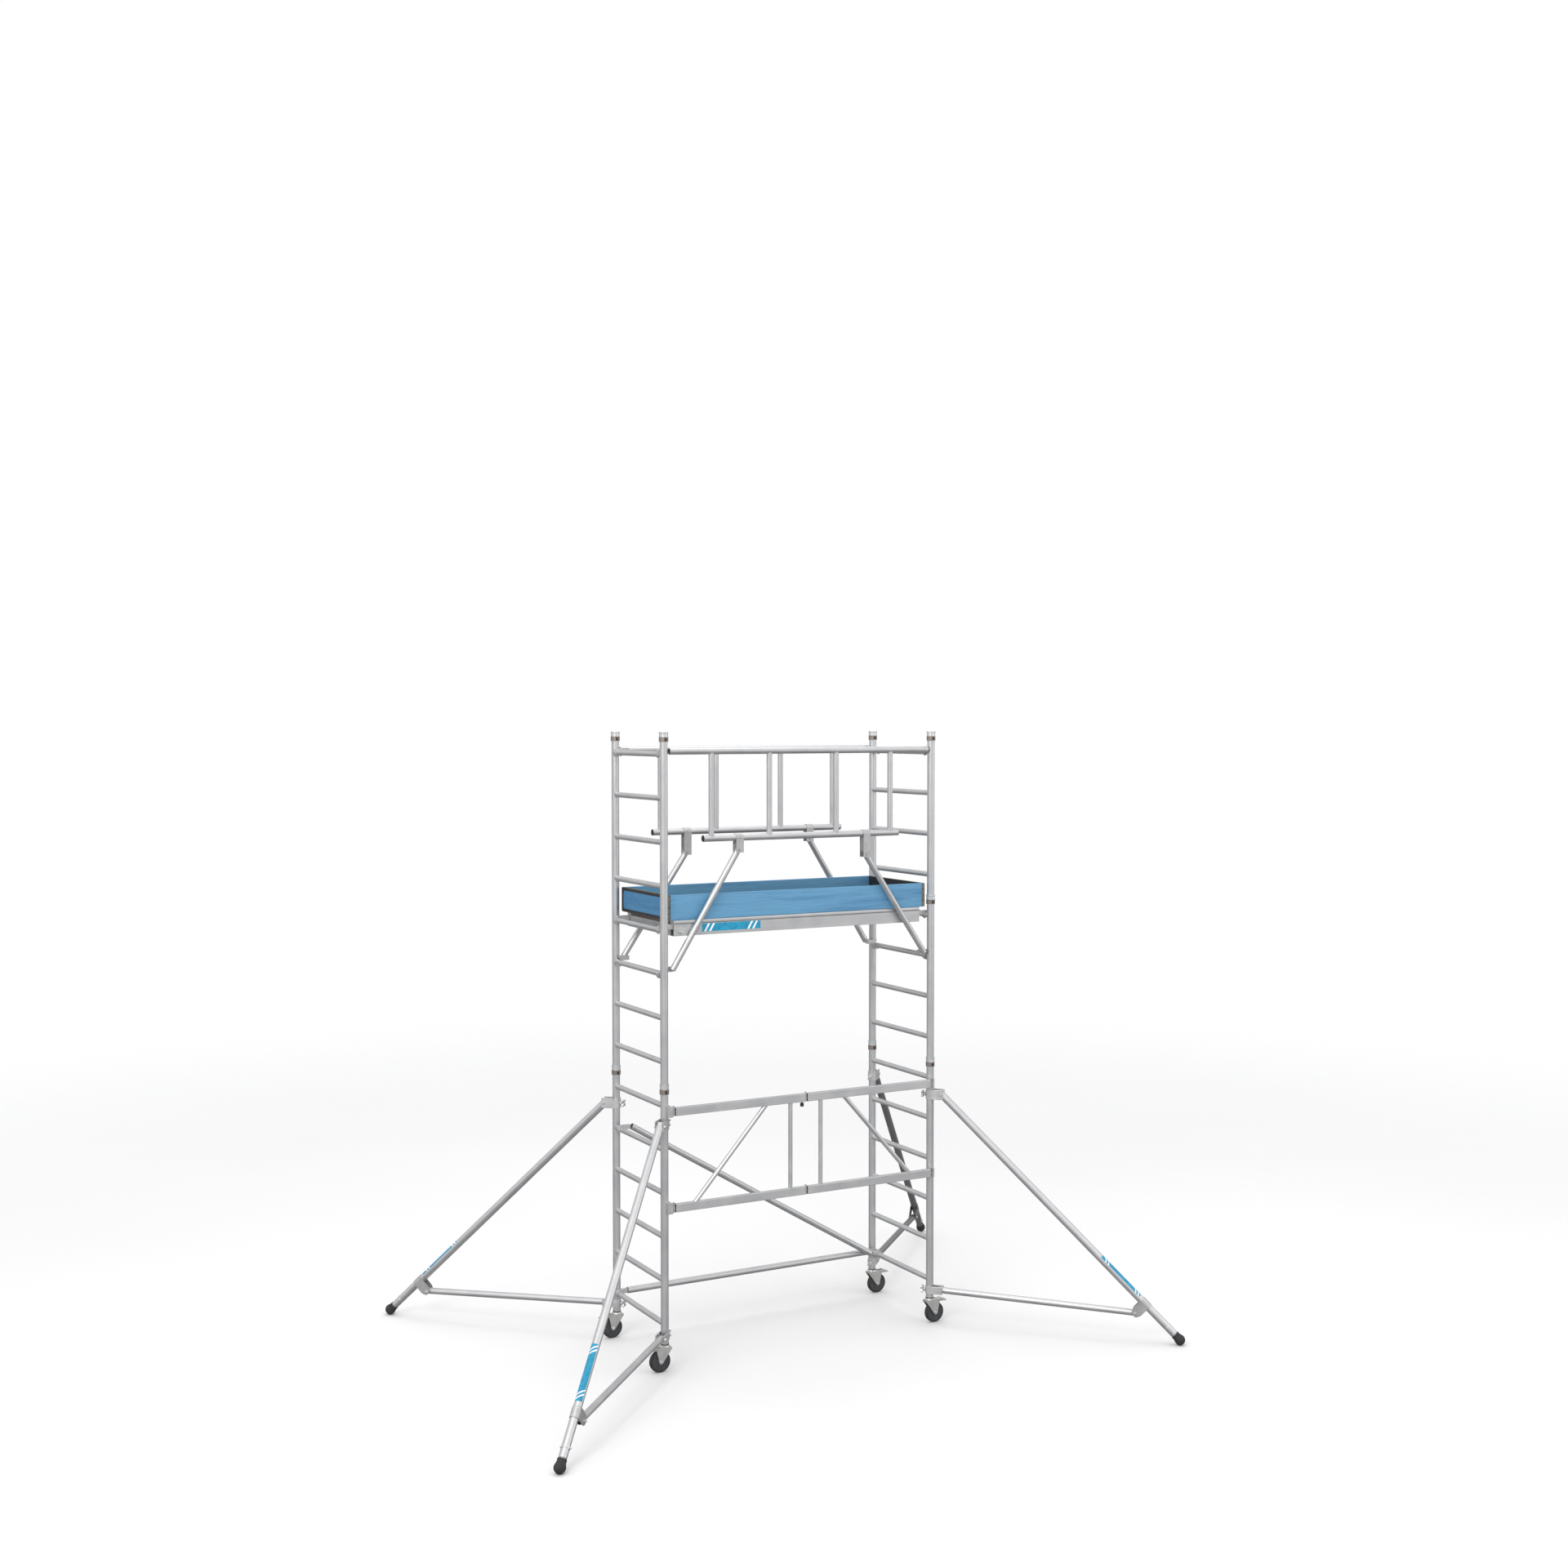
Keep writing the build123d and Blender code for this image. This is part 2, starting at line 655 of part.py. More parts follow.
def claw_profile(rung, opening, tail_x, tail_level, tail_height):
    """Side outline of a claw: a ring around the rung with an opening and a tail to its tube."""
    with Locations(rung):
        Circle(claw_r)
    with Locations(((rung[0] + tail_x) / 2, tail_level)):
        Rectangle(abs(rung[0] - tail_x), tail_height)
    with Locations(rung):
        Circle(rung_r + claw_fit, mode=Mode.SUBTRACT)
        Rectangle(3 * claw_r, 2 * (rung_r + claw_fit), rotation=opening,
                  align=(Align.MIN, Align.CENTER), mode=Mode.SUBTRACT)


# ---- Back braces: one level, one diagonal, each hooked on a rung at both ends ----
brace_d = 38
brace_lift = 16                          # tube axis above the rung it hooks on
brace_end = half_bay - 52
level_brace_y = claw_middle
diagonal_brace_y = level_brace_y - brace_d - 3
level_brace_z = rung_height(0) + brace_lift
diagonal_end = brace_end - brace_d / 4    # its tilted ends stay clear of the claws
diagonal_left = Vector(-diagonal_end, diagonal_brace_y, rung_height(4) + brace_lift)
diagonal_right = Vector(diagonal_end, diagonal_brace_y, level_brace_z)

with BuildPart() as back_braces:
    with BuildSketch(Plane.YZ.offset(-brace_end)):
        with Locations((level_brace_y, level_brace_z)):
            Circle(brace_d / 2)
            Circle(brace_d / 2 - tube_wall, mode=Mode.SUBTRACT)
    extrude(amount=2 * brace_end)
    with BuildSketch(Plane(origin=diagonal_left, z_dir=diagonal_right - diagonal_left)):
        Circle(brace_d / 2)
        Circle(brace_d / 2 - tube_wall, mode=Mode.SUBTRACT)
    extrude(amount=(diagonal_right - diagonal_left).length)
back_braces.part.label = "back_braces"
export_step(back_braces.part, "parts/back_braces.step")

brace_claw_places = [
    (-1, level_brace_y, 0),
    (1, level_brace_y, 0),
    (-1, diagonal_brace_y, 4),
    (1, diagonal_brace_y, 0),
]
with BuildPart() as brace_claws:
    for side, middle_y, rung in brace_claw_places:
        with BuildSketch(Plane.XZ.offset(-middle_y - claw_width / 2)):
            claw_profile((side * half_bay, rung_height(rung)), -90, side * (brace_end + 1),
                         rung_height(rung) + brace_lift, 24)
        extrude(amount=claw_width)
brace_claws.part.label = "brace_claws"
export_step(brace_claws.part, "parts/brace_claws.step")

# ---- Guardrails ----
rail_d = 38
guard_leg_d = 35
baluster_d = 32
guard_y = half_width + 5
guard_lift = 16
top_rail_z = rung_height(all_rungs - 1) + guard_lift
mid_rail_z = rung_height(all_rungs - 3) + guard_lift
rail_end = half_bay - post_r - 9
mid_rail_end = half_bay - 245
end_baluster = half_bay - 298
inner_baluster = half_bay / 4
baluster_places = (-end_baluster, -inner_baluster, inner_baluster, end_baluster)
leg_pivot_x = half_bay - 472
short_drop = 68
long_drop = 124
leg_rung = platform_rung - 1
leg_foot = (half_bay - 50, rung_height(leg_rung) + 24)
bracket_width = 48


def leg_pivot(side_x, side_y):
    """Each unit has one short and one long bracket; the back unit is the front one turned round."""
    drop = long_drop if side_x * side_y < 0 else short_drop
    return (side_x * leg_pivot_x, mid_rail_z - drop)


def guardrail(name, side_y):
    """A welded guardrail: full-length top rail, shorter mid rail and four balusters."""
    rails = []
    for reach, level in ((rail_end, top_rail_z), (mid_rail_end, mid_rail_z)):
        with BuildPart() as rail:
            with BuildSketch(Plane.YZ.offset(-reach)):
                with Locations((side_y * guard_y, level)):
                    Circle(rail_d / 2)
                    Circle(rail_d / 2 - tube_wall, mode=Mode.SUBTRACT)
            extrude(amount=2 * reach)
        rails.append(rail)
    with BuildPart() as balusters:
        with BuildSketch(Plane.XY.offset(mid_rail_z)):
            with Locations(*[(x, side_y * guard_y) for x in baluster_places]):
                Circle(baluster_d / 2)
                Circle(baluster_d / 2 - tube_wall, mode=Mode.SUBTRACT)
        extrude(amount=top_rail_z - mid_rail_z)
        with BuildSketch(Plane.YZ.offset(-half_bay)):
            with Locations((side_y * guard_y, top_rail_z), (side_y * guard_y, mid_rail_z)):
                Circle(rail_d / 2)
        extrude(amount=bay_length, mode=Mode.SUBTRACT)
    save(name, *rails, balusters)


guardrail("front_guardrail", -1)
guardrail("back_guardrail", 1)

with BuildPart() as guardrail_legs:
    for side_x, side_y in corners.values():
        pivot_x, pivot_z = leg_pivot(side_x, side_y)
        top = Vector(pivot_x, side_y * guard_y, pivot_z)
        bottom = Vector(side_x * leg_foot[0], side_y * guard_y, leg_foot[1])
        run = bottom - top
        with BuildSketch(Plane(origin=top - run.normalized() * 14, z_dir=run)):
            Circle(guard_leg_d / 2)
            Circle(guard_leg_d / 2 - tube_wall, mode=Mode.SUBTRACT)
        extrude(amount=run.length + 14)
        with Locations(Location(top, (90, 0, 0))):
            Cylinder(bolt_r, 2 * guard_leg_d, mode=Mode.SUBTRACT)
guardrail_legs.part.label = "guardrail_legs"
export_step(guardrail_legs.part, "parts/guardrail_legs.step")

# Inverted U plates riveted over the mid rail, with the bolt that each leg hangs on.
brackets = []
bracket_inner = rail_d / 2
for side_x, side_y in corners.values():
    pivot_x, pivot_z = leg_pivot(side_x, side_y)
    outline_height = mid_rail_z - pivot_z + 18
    with BuildPart() as leg_bracket:
        with BuildSketch(Plane.YZ.offset(pivot_x - bracket_width / 2)):
            with Locations((side_y * guard_y, mid_rail_z)):
                Circle(bracket_inner + plate)
                Rectangle(2 * bracket_inner + 2 * plate, outline_height, align=(Align.CENTER, Align.MAX))
                Circle(bracket_inner, mode=Mode.SUBTRACT)
                Rectangle(2 * bracket_inner, 2 * outline_height, align=(Align.CENTER, Align.MAX),
                          mode=Mode.SUBTRACT)
        extrude(amount=bracket_width)
        with Locations(Location((pivot_x, side_y * guard_y, pivot_z), (90, 0, 0))):
            Cylinder(bolt_r, 4 * bracket_inner, mode=Mode.SUBTRACT)
    with BuildPart() as leg_bolt:
        with Locations(Location((pivot_x, side_y * guard_y, pivot_z), (90, 0, 0))):
            Cylinder(bolt_r, 2 * (bracket_inner + plate))
        for face in (-1, 1):
            with Locations(Location((pivot_x, side_y * guard_y + face * (bracket_inner + plate + 2.5),
                                     pivot_z), (90, 0, 0))):
                Cylinder(8, 5)
    brackets += [leg_bracket, leg_bolt]
save("guardrail_leg_brackets", *brackets)

with BuildPart() as guardrail_claws:
    for rung, opening, lift in ((all_rungs - 1, -90, guard_lift), (leg_rung, 60, 24)):
        level = rung_height(rung) + lift
        with BuildSketch(Plane.XZ.offset(claw_inner)):
            claw_profile((half_bay, rung_height(rung)), opening, claw_tail, level, 26)
        extrude(amount=claw_width)
        # Side arm out to the tube, which stands clear of the platform's edge.
        tube_face = guard_y - (rail_d if rung != leg_rung else guard_leg_d) / 2
        with BuildSketch(Plane.XZ.offset(claw_middle)):
            with Locations(((claw_tail + rail_end) / 2, level)):
                Rectangle(rail_end - claw_tail, 26)
        extrude(amount=tube_face - claw_middle)
    mirror(about=Plane.YZ)
    mirror(about=Plane.XZ)
guardrail_claws.part.label = "guardrail_claws"
export_step(guardrail_claws.part, "parts/guardrail_claws.step")

# ---- Platform ----
platform_rung_z = rung_height(platform_rung)
beam_face = half_width - 20              # |y| of the side beams' outer faces
beam_width = 40
beam_bottom = platform_rung_z - 38
beam_top = platform_rung_z + 29
beam_wall = 3
lip_height = 23
lip_top = beam_top + lip_height
beam_end = half_bay - 70
cross_beam = 30
deck_thickness = 10
deck_y = beam_face - beam_width - 5
deck_top = beam_top + deck_thickness
catch_x = -(beam_end - 52)
catch_z = platform_rung_z - 5

with BuildPart() as side_beams:
    with BuildSketch(Plane.YZ.offset(-beam_end)):
        for side_y in (-1, 1):
            with Locations((side_y * (beam_face - beam_width / 2), (beam_bottom + beam_top) / 2)):
                Rectangle(beam_width, beam_top - beam_bottom)
            with Locations((side_y * (beam_face - beam_width / 2), beam_top + lip_height / 2)):
                RectangleRounded(beam_width + 6, lip_height, 8)
            with Locations((side_y * (beam_face - beam_width / 2), (beam_bottom + beam_top) / 2)):
                Rectangle(beam_width - 2 * beam_wall, beam_top - beam_bottom - 2 * beam_wall,
                          mode=Mode.SUBTRACT)
    extrude(amount=2 * beam_end)
    # Hole for the catch's pin, through the front beam's outer wall.
    with Locations(Location((catch_x, -beam_face, catch_z), (90, 0, 0))):
        Cylinder(3 + running_fit, 4 * beam_wall, mode=Mode.SUBTRACT)
with BuildPart() as cross_beams:
    with BuildSketch(Plane.XZ.offset(-(beam_face - beam_width))):
        with GridLocations(2 * beam_end - cross_beam, 0, 2, 1):
            with Locations((0, (beam_bottom + beam_top) / 2)):
                Rectangle(cross_beam, beam_top - beam_bottom)
                Rectangle(cross_beam - 2 * beam_wall, beam_top - beam_bottom - 2 * beam_wall,
                          mode=Mode.SUBTRACT)
    extrude(amount=2 * (beam_face - beam_width))
save("platform_frame", side_beams, cross_beams)

with BuildPart() as platform_hooks:
    with BuildSketch(Plane.XZ.offset(claw_inner)):
        claw_profile((half_bay, platform_rung_z), -90, beam_end, beam_top - 14, 26)
    extrude(amount=claw_width)
    mirror(about=Plane.YZ)
    mirror(about=Plane.XZ)
platform_hooks.part.label = "platform_hooks"
export_step(platform_hooks.part, "parts/platform_hooks.step")

# Deck with a trapdoor hinged along its back edge.
hatch_left = -(half_bay - 200)
hatch_right = -60
hatch_half_depth = deck_y - 50
hatch_length = hatch_right - hatch_left
hinge_axis_y = hatch_half_depth + panel_gap / 2
hinge_axis_z = deck_top + 5
hinge_barrel_r = 5
hinge_pin_r_small = 2.5
hinge_places = [(hatch_left + hatch_length * share, hinge_axis_y, hinge_axis_z) for share in (0.2, 0.8)]
hinge_leaf = 2
hinge_length = 70
hinge_rebate = 30          # width of the recess that takes a fixed leaf

with BuildPart() as deck_panel:
    with BuildSketch(Plane.XY.offset(beam_top)):
        Rectangle(2 * beam_end, 2 * deck_y)
        with Locations(((hatch_left + hatch_right) / 2, 0)):
            Rectangle(hatch_length + 2 * panel_gap, 2 * hatch_half_depth + 2 * panel_gap, mode=Mode.SUBTRACT)
    extrude(amount=deck_thickness)
    # The fixed leaves are let into the panel, flush with its top.
    with BuildSketch(Plane.XY.offset(deck_top - hinge_leaf)):
        with Locations(*[(x, hatch_half_depth + panel_gap) for x, y, z in hinge_places]):
            Rectangle(hinge_length + 2, hinge_rebate, align=(Align.CENTER, Align.MIN))
    extrude(amount=hinge_leaf, mode=Mode.SUBTRACT)
with BuildPart() as deck_hinges:
    for x, y, z in hinge_places:
        with BuildSketch(Plane.YZ.offset(x - hinge_length / 2)):
            with Locations((y, z)):
                Circle(hinge_barrel_r)
            with Locations((y + 16, deck_top - hinge_leaf / 2)):
                Rectangle(28, hinge_leaf)
            with Locations((y + 4, deck_top + hinge_leaf)):
                Rectangle(6, 2 * hinge_leaf, align=(Align.CENTER, Align.CENTER))
        extrude(amount=hinge_length)
        with BuildSketch(Plane.YZ.offset(x - 14)):
            with Locations((y, z)):
                Rectangle(4 * hinge_barrel_r, 4 * hinge_barrel_r)
        extrude(amount=28, mode=Mode.SUBTRACT)
        with BuildSketch(Plane.YZ.offset(x - hinge_length / 2)):
            with Locations((y, z)):
                Circle(hinge_pin_r_small)
        extrude(amount=hinge_length)
save("platform_deck", deck_panel, deck_hinges)

with BuildPart() as platform_hatch:
    with BuildSketch(Plane.XY.offset(beam_top)):
        with Locations(((hatch_left + hatch_right) / 2, 0)):
            Rectangle(hatch_length, 2 * hatch_half_depth)
    extrude(amount=deck_thickness)
    for x, y, z in hinge_places:
        with BuildSketch(Plane.YZ.offset(x - 13)):
            with Locations((y, z)):
                Circle(hinge_barrel_r)
            with Locations((y - 18, deck_top + hinge_leaf / 2)):
                Rectangle(28, hinge_leaf)
            with Locations((y - 5, deck_top + hinge_leaf)):
                Rectangle(5, 2 * hinge_leaf)
            with Locations((y, z)):
                Circle(hinge_pin_r_small + running_fit, mode=Mode.SUBTRACT)
        extrude(amount=26)
platform_hatch.part.label = "platform_hatch"
export_step(platform_hatch.part, "parts/platform_hatch.step")

# Turning catch on the front beam.
with BuildPart() as platform_catch:
    with BuildSketch(Plane.XZ.offset(beam_face + 1)):
        with Locations((catch_x, catch_z)):
            RectangleRounded(34, 24, 3, rotation=62)
    extrude(amount=9)
    with BuildSketch(Plane.XZ.offset(beam_face - beam_wall - 2)):
        with Locations((catch_x, catch_z)):
            Circle(3)
    extrude(amount=beam_wall + 6)
platform_catch.part.label = "platform_catch"
export_step(platform_catch.part, "parts/platform_catch.step")

# ---- Toe boards ----
board_thickness = 18
board_height = 145
end_board_face = half_bay - 30
end_board_thickness = 20
with BuildPart() as side_toe_boards:
    with BuildSketch(Plane.XY.offset(lip_top)):
        with GridLocations(0, 2 * beam_face - board_thickness, 1, 2):
            Rectangle(2 * (end_board_face - end_board_thickness), board_thickness)
    extrude(amount=board_height)
side_toe_boards.part.label = "side_toe_boards"
export_step(side_toe_boards.part, "parts/side_toe_boards.step")

with BuildPart() as end_toe_boards:
    with BuildSketch(Plane.XY.offset(lip_top)):
        with GridLocations(2 * end_board_face - end_board_thickness, 0, 2, 1):
            Rectangle(end_board_thickness, 2 * beam_face)
    extrude(amount=board_height)
end_toe_boards.part.label = "end_toe_boards"
export_step(end_toe_boards.part, "parts/end_toe_boards.step")
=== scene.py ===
import math

import bmesh
import bpy
from mathutils import Matrix, Vector


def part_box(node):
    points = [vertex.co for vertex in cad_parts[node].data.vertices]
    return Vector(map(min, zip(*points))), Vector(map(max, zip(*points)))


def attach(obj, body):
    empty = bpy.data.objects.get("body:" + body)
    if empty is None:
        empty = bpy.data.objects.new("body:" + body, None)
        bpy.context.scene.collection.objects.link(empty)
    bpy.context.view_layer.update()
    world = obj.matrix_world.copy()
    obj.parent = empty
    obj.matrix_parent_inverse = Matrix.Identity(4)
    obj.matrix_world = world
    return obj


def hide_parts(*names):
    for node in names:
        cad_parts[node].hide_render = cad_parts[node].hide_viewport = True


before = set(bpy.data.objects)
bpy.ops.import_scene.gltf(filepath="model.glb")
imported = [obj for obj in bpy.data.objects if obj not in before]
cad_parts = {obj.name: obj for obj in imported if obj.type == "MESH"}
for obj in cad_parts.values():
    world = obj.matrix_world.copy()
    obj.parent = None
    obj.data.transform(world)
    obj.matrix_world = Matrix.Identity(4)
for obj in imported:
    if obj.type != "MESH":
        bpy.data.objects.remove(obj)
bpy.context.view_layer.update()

# ---- Driving dimensions, read from the frame, in metres ----
MM = 0.001
base_low, base_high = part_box("base_right_frame")
post_r = (base_high.x - base_low.x) / 2
rung_r = 16 * MM
half_bay = base_high.x - post_r
half_width = base_high.y - post_r
post_foot = base_low.z / MM
rung_pitch = 250 * MM
lowest_rung = base_low.z + 110 * MM
CORNERS = {
    "front_left": (-1, -1),
    "front_right": (1, -1),
    "back_left": (-1, 1),
    "back_right": (1, 1),
}
TOWER = "tower"
SMOOTH_ANGLE = math.radians(38)


def rung_height(index):
    """Height of a rung's centre; the lowest rung is number zero."""
    return lowest_rung + rung_pitch * index


# ---- Geometry helpers; every outline is in millimetres in the piece's own frame ----
def lathe(bm, profile, segments=48, at=Matrix()):
    """Turns a closed outline of (radius, height) points about the local Z axis."""
    rings = []
    for radius, height in profile:
        count = segments if radius > 1e-6 else 1
        turns = [2 * math.pi * i / count for i in range(count)]
        rings.append([
            bm.verts.new(at @ (Vector((radius * math.cos(t), radius * math.sin(t), height)) * MM))
            for t in turns
        ])
    for near, far in zip(rings, rings[1:] + rings[:1]):
        if len(near) == 1 and len(far) == 1:
            continue
        for i in range(segments):
            j = (i + 1) % segments
            if len(near) == 1:
                bm.faces.new((near[0], far[i], far[j]))
            elif len(far) == 1:
                bm.faces.new((near[i], near[j], far[0]))
            else:
                bm.faces.new((near[i], near[j], far[j], far[i]))


def plate(bm, outline, low, high, at=Matrix()):
    """Extrudes a flat outline of (x, y) points between two heights along local Z."""
    rings = [
        [bm.verts.new(at @ (Vector((x, y, level)) * MM)) for x, y in outline]
        for level in (low, high)
    ]
    bm.faces.new(rings[0])
    bm.faces.new(rings[1])
    count = len(outline)
    for i in range(count):
        j = (i + 1) % count
        bm.faces.new((rings[0][i], rings[0][j], rings[1][j], rings[1][i]))


def sweep(bm, path, radius, sides=8):
    """A round bead of a given radius in metres that follows a closed path of points."""
    count = len(path)
    rings = []
    for i, point in enumerate(path):
        ahead = path[(i + 1) % count]
        run = (ahead - path[i - 1]).normalized()
        helper = Vector((0.31, 0.22, 0.92)) if abs(run.z) < 0.9 else Vector((1, 0, 0))
        across = run.cross(helper).normalized()
        up = across.cross(run)
        rings.append([
            bm.verts.new(point + radius * (across * math.cos(t) + up * math.sin(t)))
            for t in (2 * math.pi * k / sides for k in range(sides))
        ])
    for i in range(count):
        near, far = rings[i], rings[(i + 1) % count]
        shift = min(range(sides), key=lambda s: (far[s].co - near[0].co).length)
        for k in range(sides):
            m = (k + 1) % sides
            bm.faces.new((near[k], near[m], far[(m + shift) % sides], far[(k + shift) % sides]))


def rounded(outline, radius, steps=3):
    """The same closed outline with its corners rounded."""
    points = []
    count = len(outline)
    for i in range(count):
        corner = Vector(outline[i])
        before = Vector(outline[i - 1]) - corner
        after = Vector(outline[(i + 1) % count]) - corner
        reach = min(radius, before.length * 0.45, after.length * 0.45)
        start = corner + before.normalized() * reach
        end = corner + after.normalized() * reach
        for k in range(steps + 1):
            t = k / steps
            point = start * (1 - t) ** 2 + corner * 2 * t * (1 - t) + end * t ** 2
            points.append(tuple(point))
    return points


def rectangle(width, height, x=0.0, y=0.0):
    """Corner points of a rectangle about a centre."""
    return [
        (x - width / 2, y - height / 2),
        (x + width / 2, y - height / 2),
        (x + width / 2, y + height / 2),
        (x - width / 2, y + height / 2),
    ]


def hull(circles, steps=28):
    """The convex outline around circles given as (x, y, radius)."""
    points = sorted(
        (x + r * math.cos(2 * math.pi * k / steps), y + r * math.sin(2 * math.pi * k / steps))
        for x, y, r in circles
        for k in range(steps)
    )

    def chain(ordered):
        side = []
        for p in ordered:
            while len(side) > 1 and (
                (side[-1][0] - side[-2][0]) * (p[1] - side[-2][1])
                - (side[-1][1] - side[-2][1]) * (p[0] - side[-2][0])
            ) <= 1e-9:
                side.pop()
            side.append(p)
        return side[:-1]

    return chain(points) + chain(points[::-1])


def tube_profile(outer, inner, low, high, rim=0.6):
    """Half section of a tube with softened rims."""
    return [
        (inner, low), (outer - rim, low), (outer, low + rim), (outer, high - rim),
        (outer - rim, high), (inner, high),
    ]


def rod_profile(radius, low, high, rim=0.8):
    """Half section of a solid rod with chamfered ends."""
    return [
        (0, low), (radius - rim, low), (radius, low + rim), (radius, high - rim),
        (radius - rim, high), (0, high),
    ]


def toward(start, end):
    """A placement at start, in metres, with its Z axis running to end."""
    direction = (Vector(end) - Vector(start)).normalized()
    return Matrix.Translation(start) @ direction.to_track_quat("Z", "Y").to_matrix().to_4x4()


def piece(name, body, finish, build, at=Matrix(), bevel=0.0, replaces=()):
    """One visual piece: built in its own frame, finished, and riding on a body of the frame."""
    bm = bmesh.new()
    build(bm)
    bmesh.ops.recalc_face_normals(bm, faces=bm.faces)
    mesh = bpy.data.meshes.new(name)
    bm.to_mesh(mesh)
    bm.free()
    mesh.shade_smooth()
    mesh.set_sharp_from_angle(angle=SMOOTH_ANGLE)
    mesh.materials.append(finish)
    obj = bpy.data.objects.new(name, mesh)
    bpy.context.scene.collection.objects.link(obj)
    obj.matrix_world = at
    if bevel:
        edge = obj.modifiers.new("edge", "BEVEL")
        edge.width = bevel * MM
        edge.segments = 2
        edge.limit_method = "ANGLE"
        edge.angle_limit = math.radians(40)
        edge.harden_normals = True
    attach(obj, body)
    if replaces:
        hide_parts(*replaces)
    return obj


# ---- Materials ----
class Finish:
    """A node material with the few helpers that the finishes below share."""

    def __init__(self, name, metallic=0.0, roughness=0.5):
        self.material = bpy.data.materials.new(name)
        self.material.use_nodes = True
        self.tree = self.material.node_tree
        self.tree.nodes.clear()
        output = self.add("ShaderNodeOutputMaterial")
        self.shader = self.add("ShaderNodeBsdfPrincipled")
        self.shader.inputs["Metallic"].default_value = metallic
        self.shader.inputs["Roughness"].default_value = roughness
        self.link(self.shader.outputs["BSDF"], output.inputs["Surface"])
        self.place = self.add("ShaderNodeTexCoord").outputs["Object"]

    def add(self, kind, **values):
        node = self.tree.nodes.new(kind)
        for key, value in values.items():
            setattr(node, key, value)
        return node

    def link(self, source, target):
        self.tree.links.new(source, target)

    def stretched(self, scale):
        """The object's coordinates, scaled per axis."""
        mapping = self.add("ShaderNodeMapping")
        mapping.inputs["Scale"].default_value = scale
        self.link(self.place, mapping.inputs["Vector"])
        return mapping.outputs["Vector"]

    def noise(self, scale, detail=3.0, vector=None, roughness=0.55):
        node = self.add("ShaderNodeTexNoise")
        node.inputs["Scale"].default_value = scale
        node.inputs["Detail"].default_value = detail
        node.inputs["Roughness"].default_value = roughness
        self.link(vector or self.place, node.inputs["Vector"])
        return node.outputs["Fac"]

    def ramp(self, source, stops):
        """A colour ramp with (position, colour) stops; a plain number stands for a grey."""
        node = self.add("ShaderNodeValToRGB")
        ramp = node.color_ramp
        while len(ramp.elements) < len(stops):
            ramp.elements.new(0.5)
        for element, (position, colour) in zip(ramp.elements, stops):
            element.position = position
            if isinstance(colour, (int, float)):
                colour = (colour, colour, colour)
            element.color = (*colour, 1.0)
        self.link(source, node.inputs["Fac"])
        return node.outputs["Color"]

    def math(self, operation, first, second=None):
        node = self.add("ShaderNodeMath", operation=operation)
        for socket, value in zip(node.inputs, (first, second)):
            if value is None:
                continue
            if isinstance(value, (int, float)):
                socket.default_value = value
            else:
                self.link(value, socket)
        return node.outputs[0]

    def mix(self, factor, first, second, blend="MIX"):
        node = self.add("ShaderNodeMix", data_type="RGBA", blend_type=blend)
        sockets = (node.inputs["Factor"], node.inputs[6], node.inputs[7])
        for socket, value in zip(sockets, (factor, first, second)):
            if isinstance(value, (int, float)):
                socket.default_value = value
            elif isinstance(value, tuple):
                socket.default_value = (*value, 1.0)
            else:
                self.link(value, socket)
        return node.outputs[2]

    def colour(self, source):
        self.link(source, self.shader.inputs["Base Color"])

    def rough(self, source):
        self.link(source, self.shader.inputs["Roughness"])

    def bump(self, source, strength=0.3, depth=0.2):
        """Adds relief; depth is in millimetres."""
        node = self.add("ShaderNodeBump")
        node.inputs["Strength"].default_value = strength
        node.inputs["Distance"].default_value = depth * MM
        self.link(source, node.inputs["Height"])
        if self.shader.inputs["Normal"].is_linked:
            self.link(self.shader.inputs["Normal"].links[0].from_socket, node.inputs["Normal"])
        self.link(node.outputs["Normal"], self.shader.inputs["Normal"])


def grain_scale(axis, along=2.0, across=260.0):
    """Noise scale with long streaks along one axis."""
    return tuple(along if letter == axis else across for letter in "xyz")


def aluminium(name, axis, light, cross_axis=None, split=0.0):
    """Extruded aluminium: fine drawing lines along the tube, faint handling marks and dull patches.

    With cross_axis, the stretch of the object nearer its middle than split in Y has its lines
    along that axis instead."""
    finish = Finish(name, metallic=0.88)
    streaks = finish.noise(1.0, 4.0, finish.stretched(grain_scale(axis)))
    if cross_axis:
        crossing = finish.noise(1.0, 4.0, finish.stretched(grain_scale(cross_axis)))
        separate = finish.add("ShaderNodeSeparateXYZ")
        finish.link(finish.place, separate.inputs[0])
        inside = finish.math("LESS_THAN", finish.math("ABSOLUTE", separate.outputs["Y"]), split)
        streaks = finish.mix(inside, streaks, crossing)
    patches = finish.noise(9.0, 5.0)
    marks = finish.noise(120.0, 2.0)
    base = finish.ramp(streaks, [(0.3, light * 0.93), (0.7, light * 1.03)])
    dull = finish.ramp(patches, [(0.35, (0.90, 0.91, 0.93)), (0.65, (1.0, 1.0, 1.0))])
    finish.colour(finish.mix(0.8, base, dull, "MULTIPLY"))
    satin = finish.mix(0.45, finish.ramp(streaks, [(0.3, 0.33), (0.7, 0.47)]),
                       finish.ramp(patches, [(0.35, 0.30), (0.65, 0.52)]))
    finish.rough(satin)
    finish.bump(streaks, 0.25, 0.06)
    finish.bump(marks, 0.12, 0.12)
    return finish.material


NEUTRAL = (1.0, 1.0, 1.0)


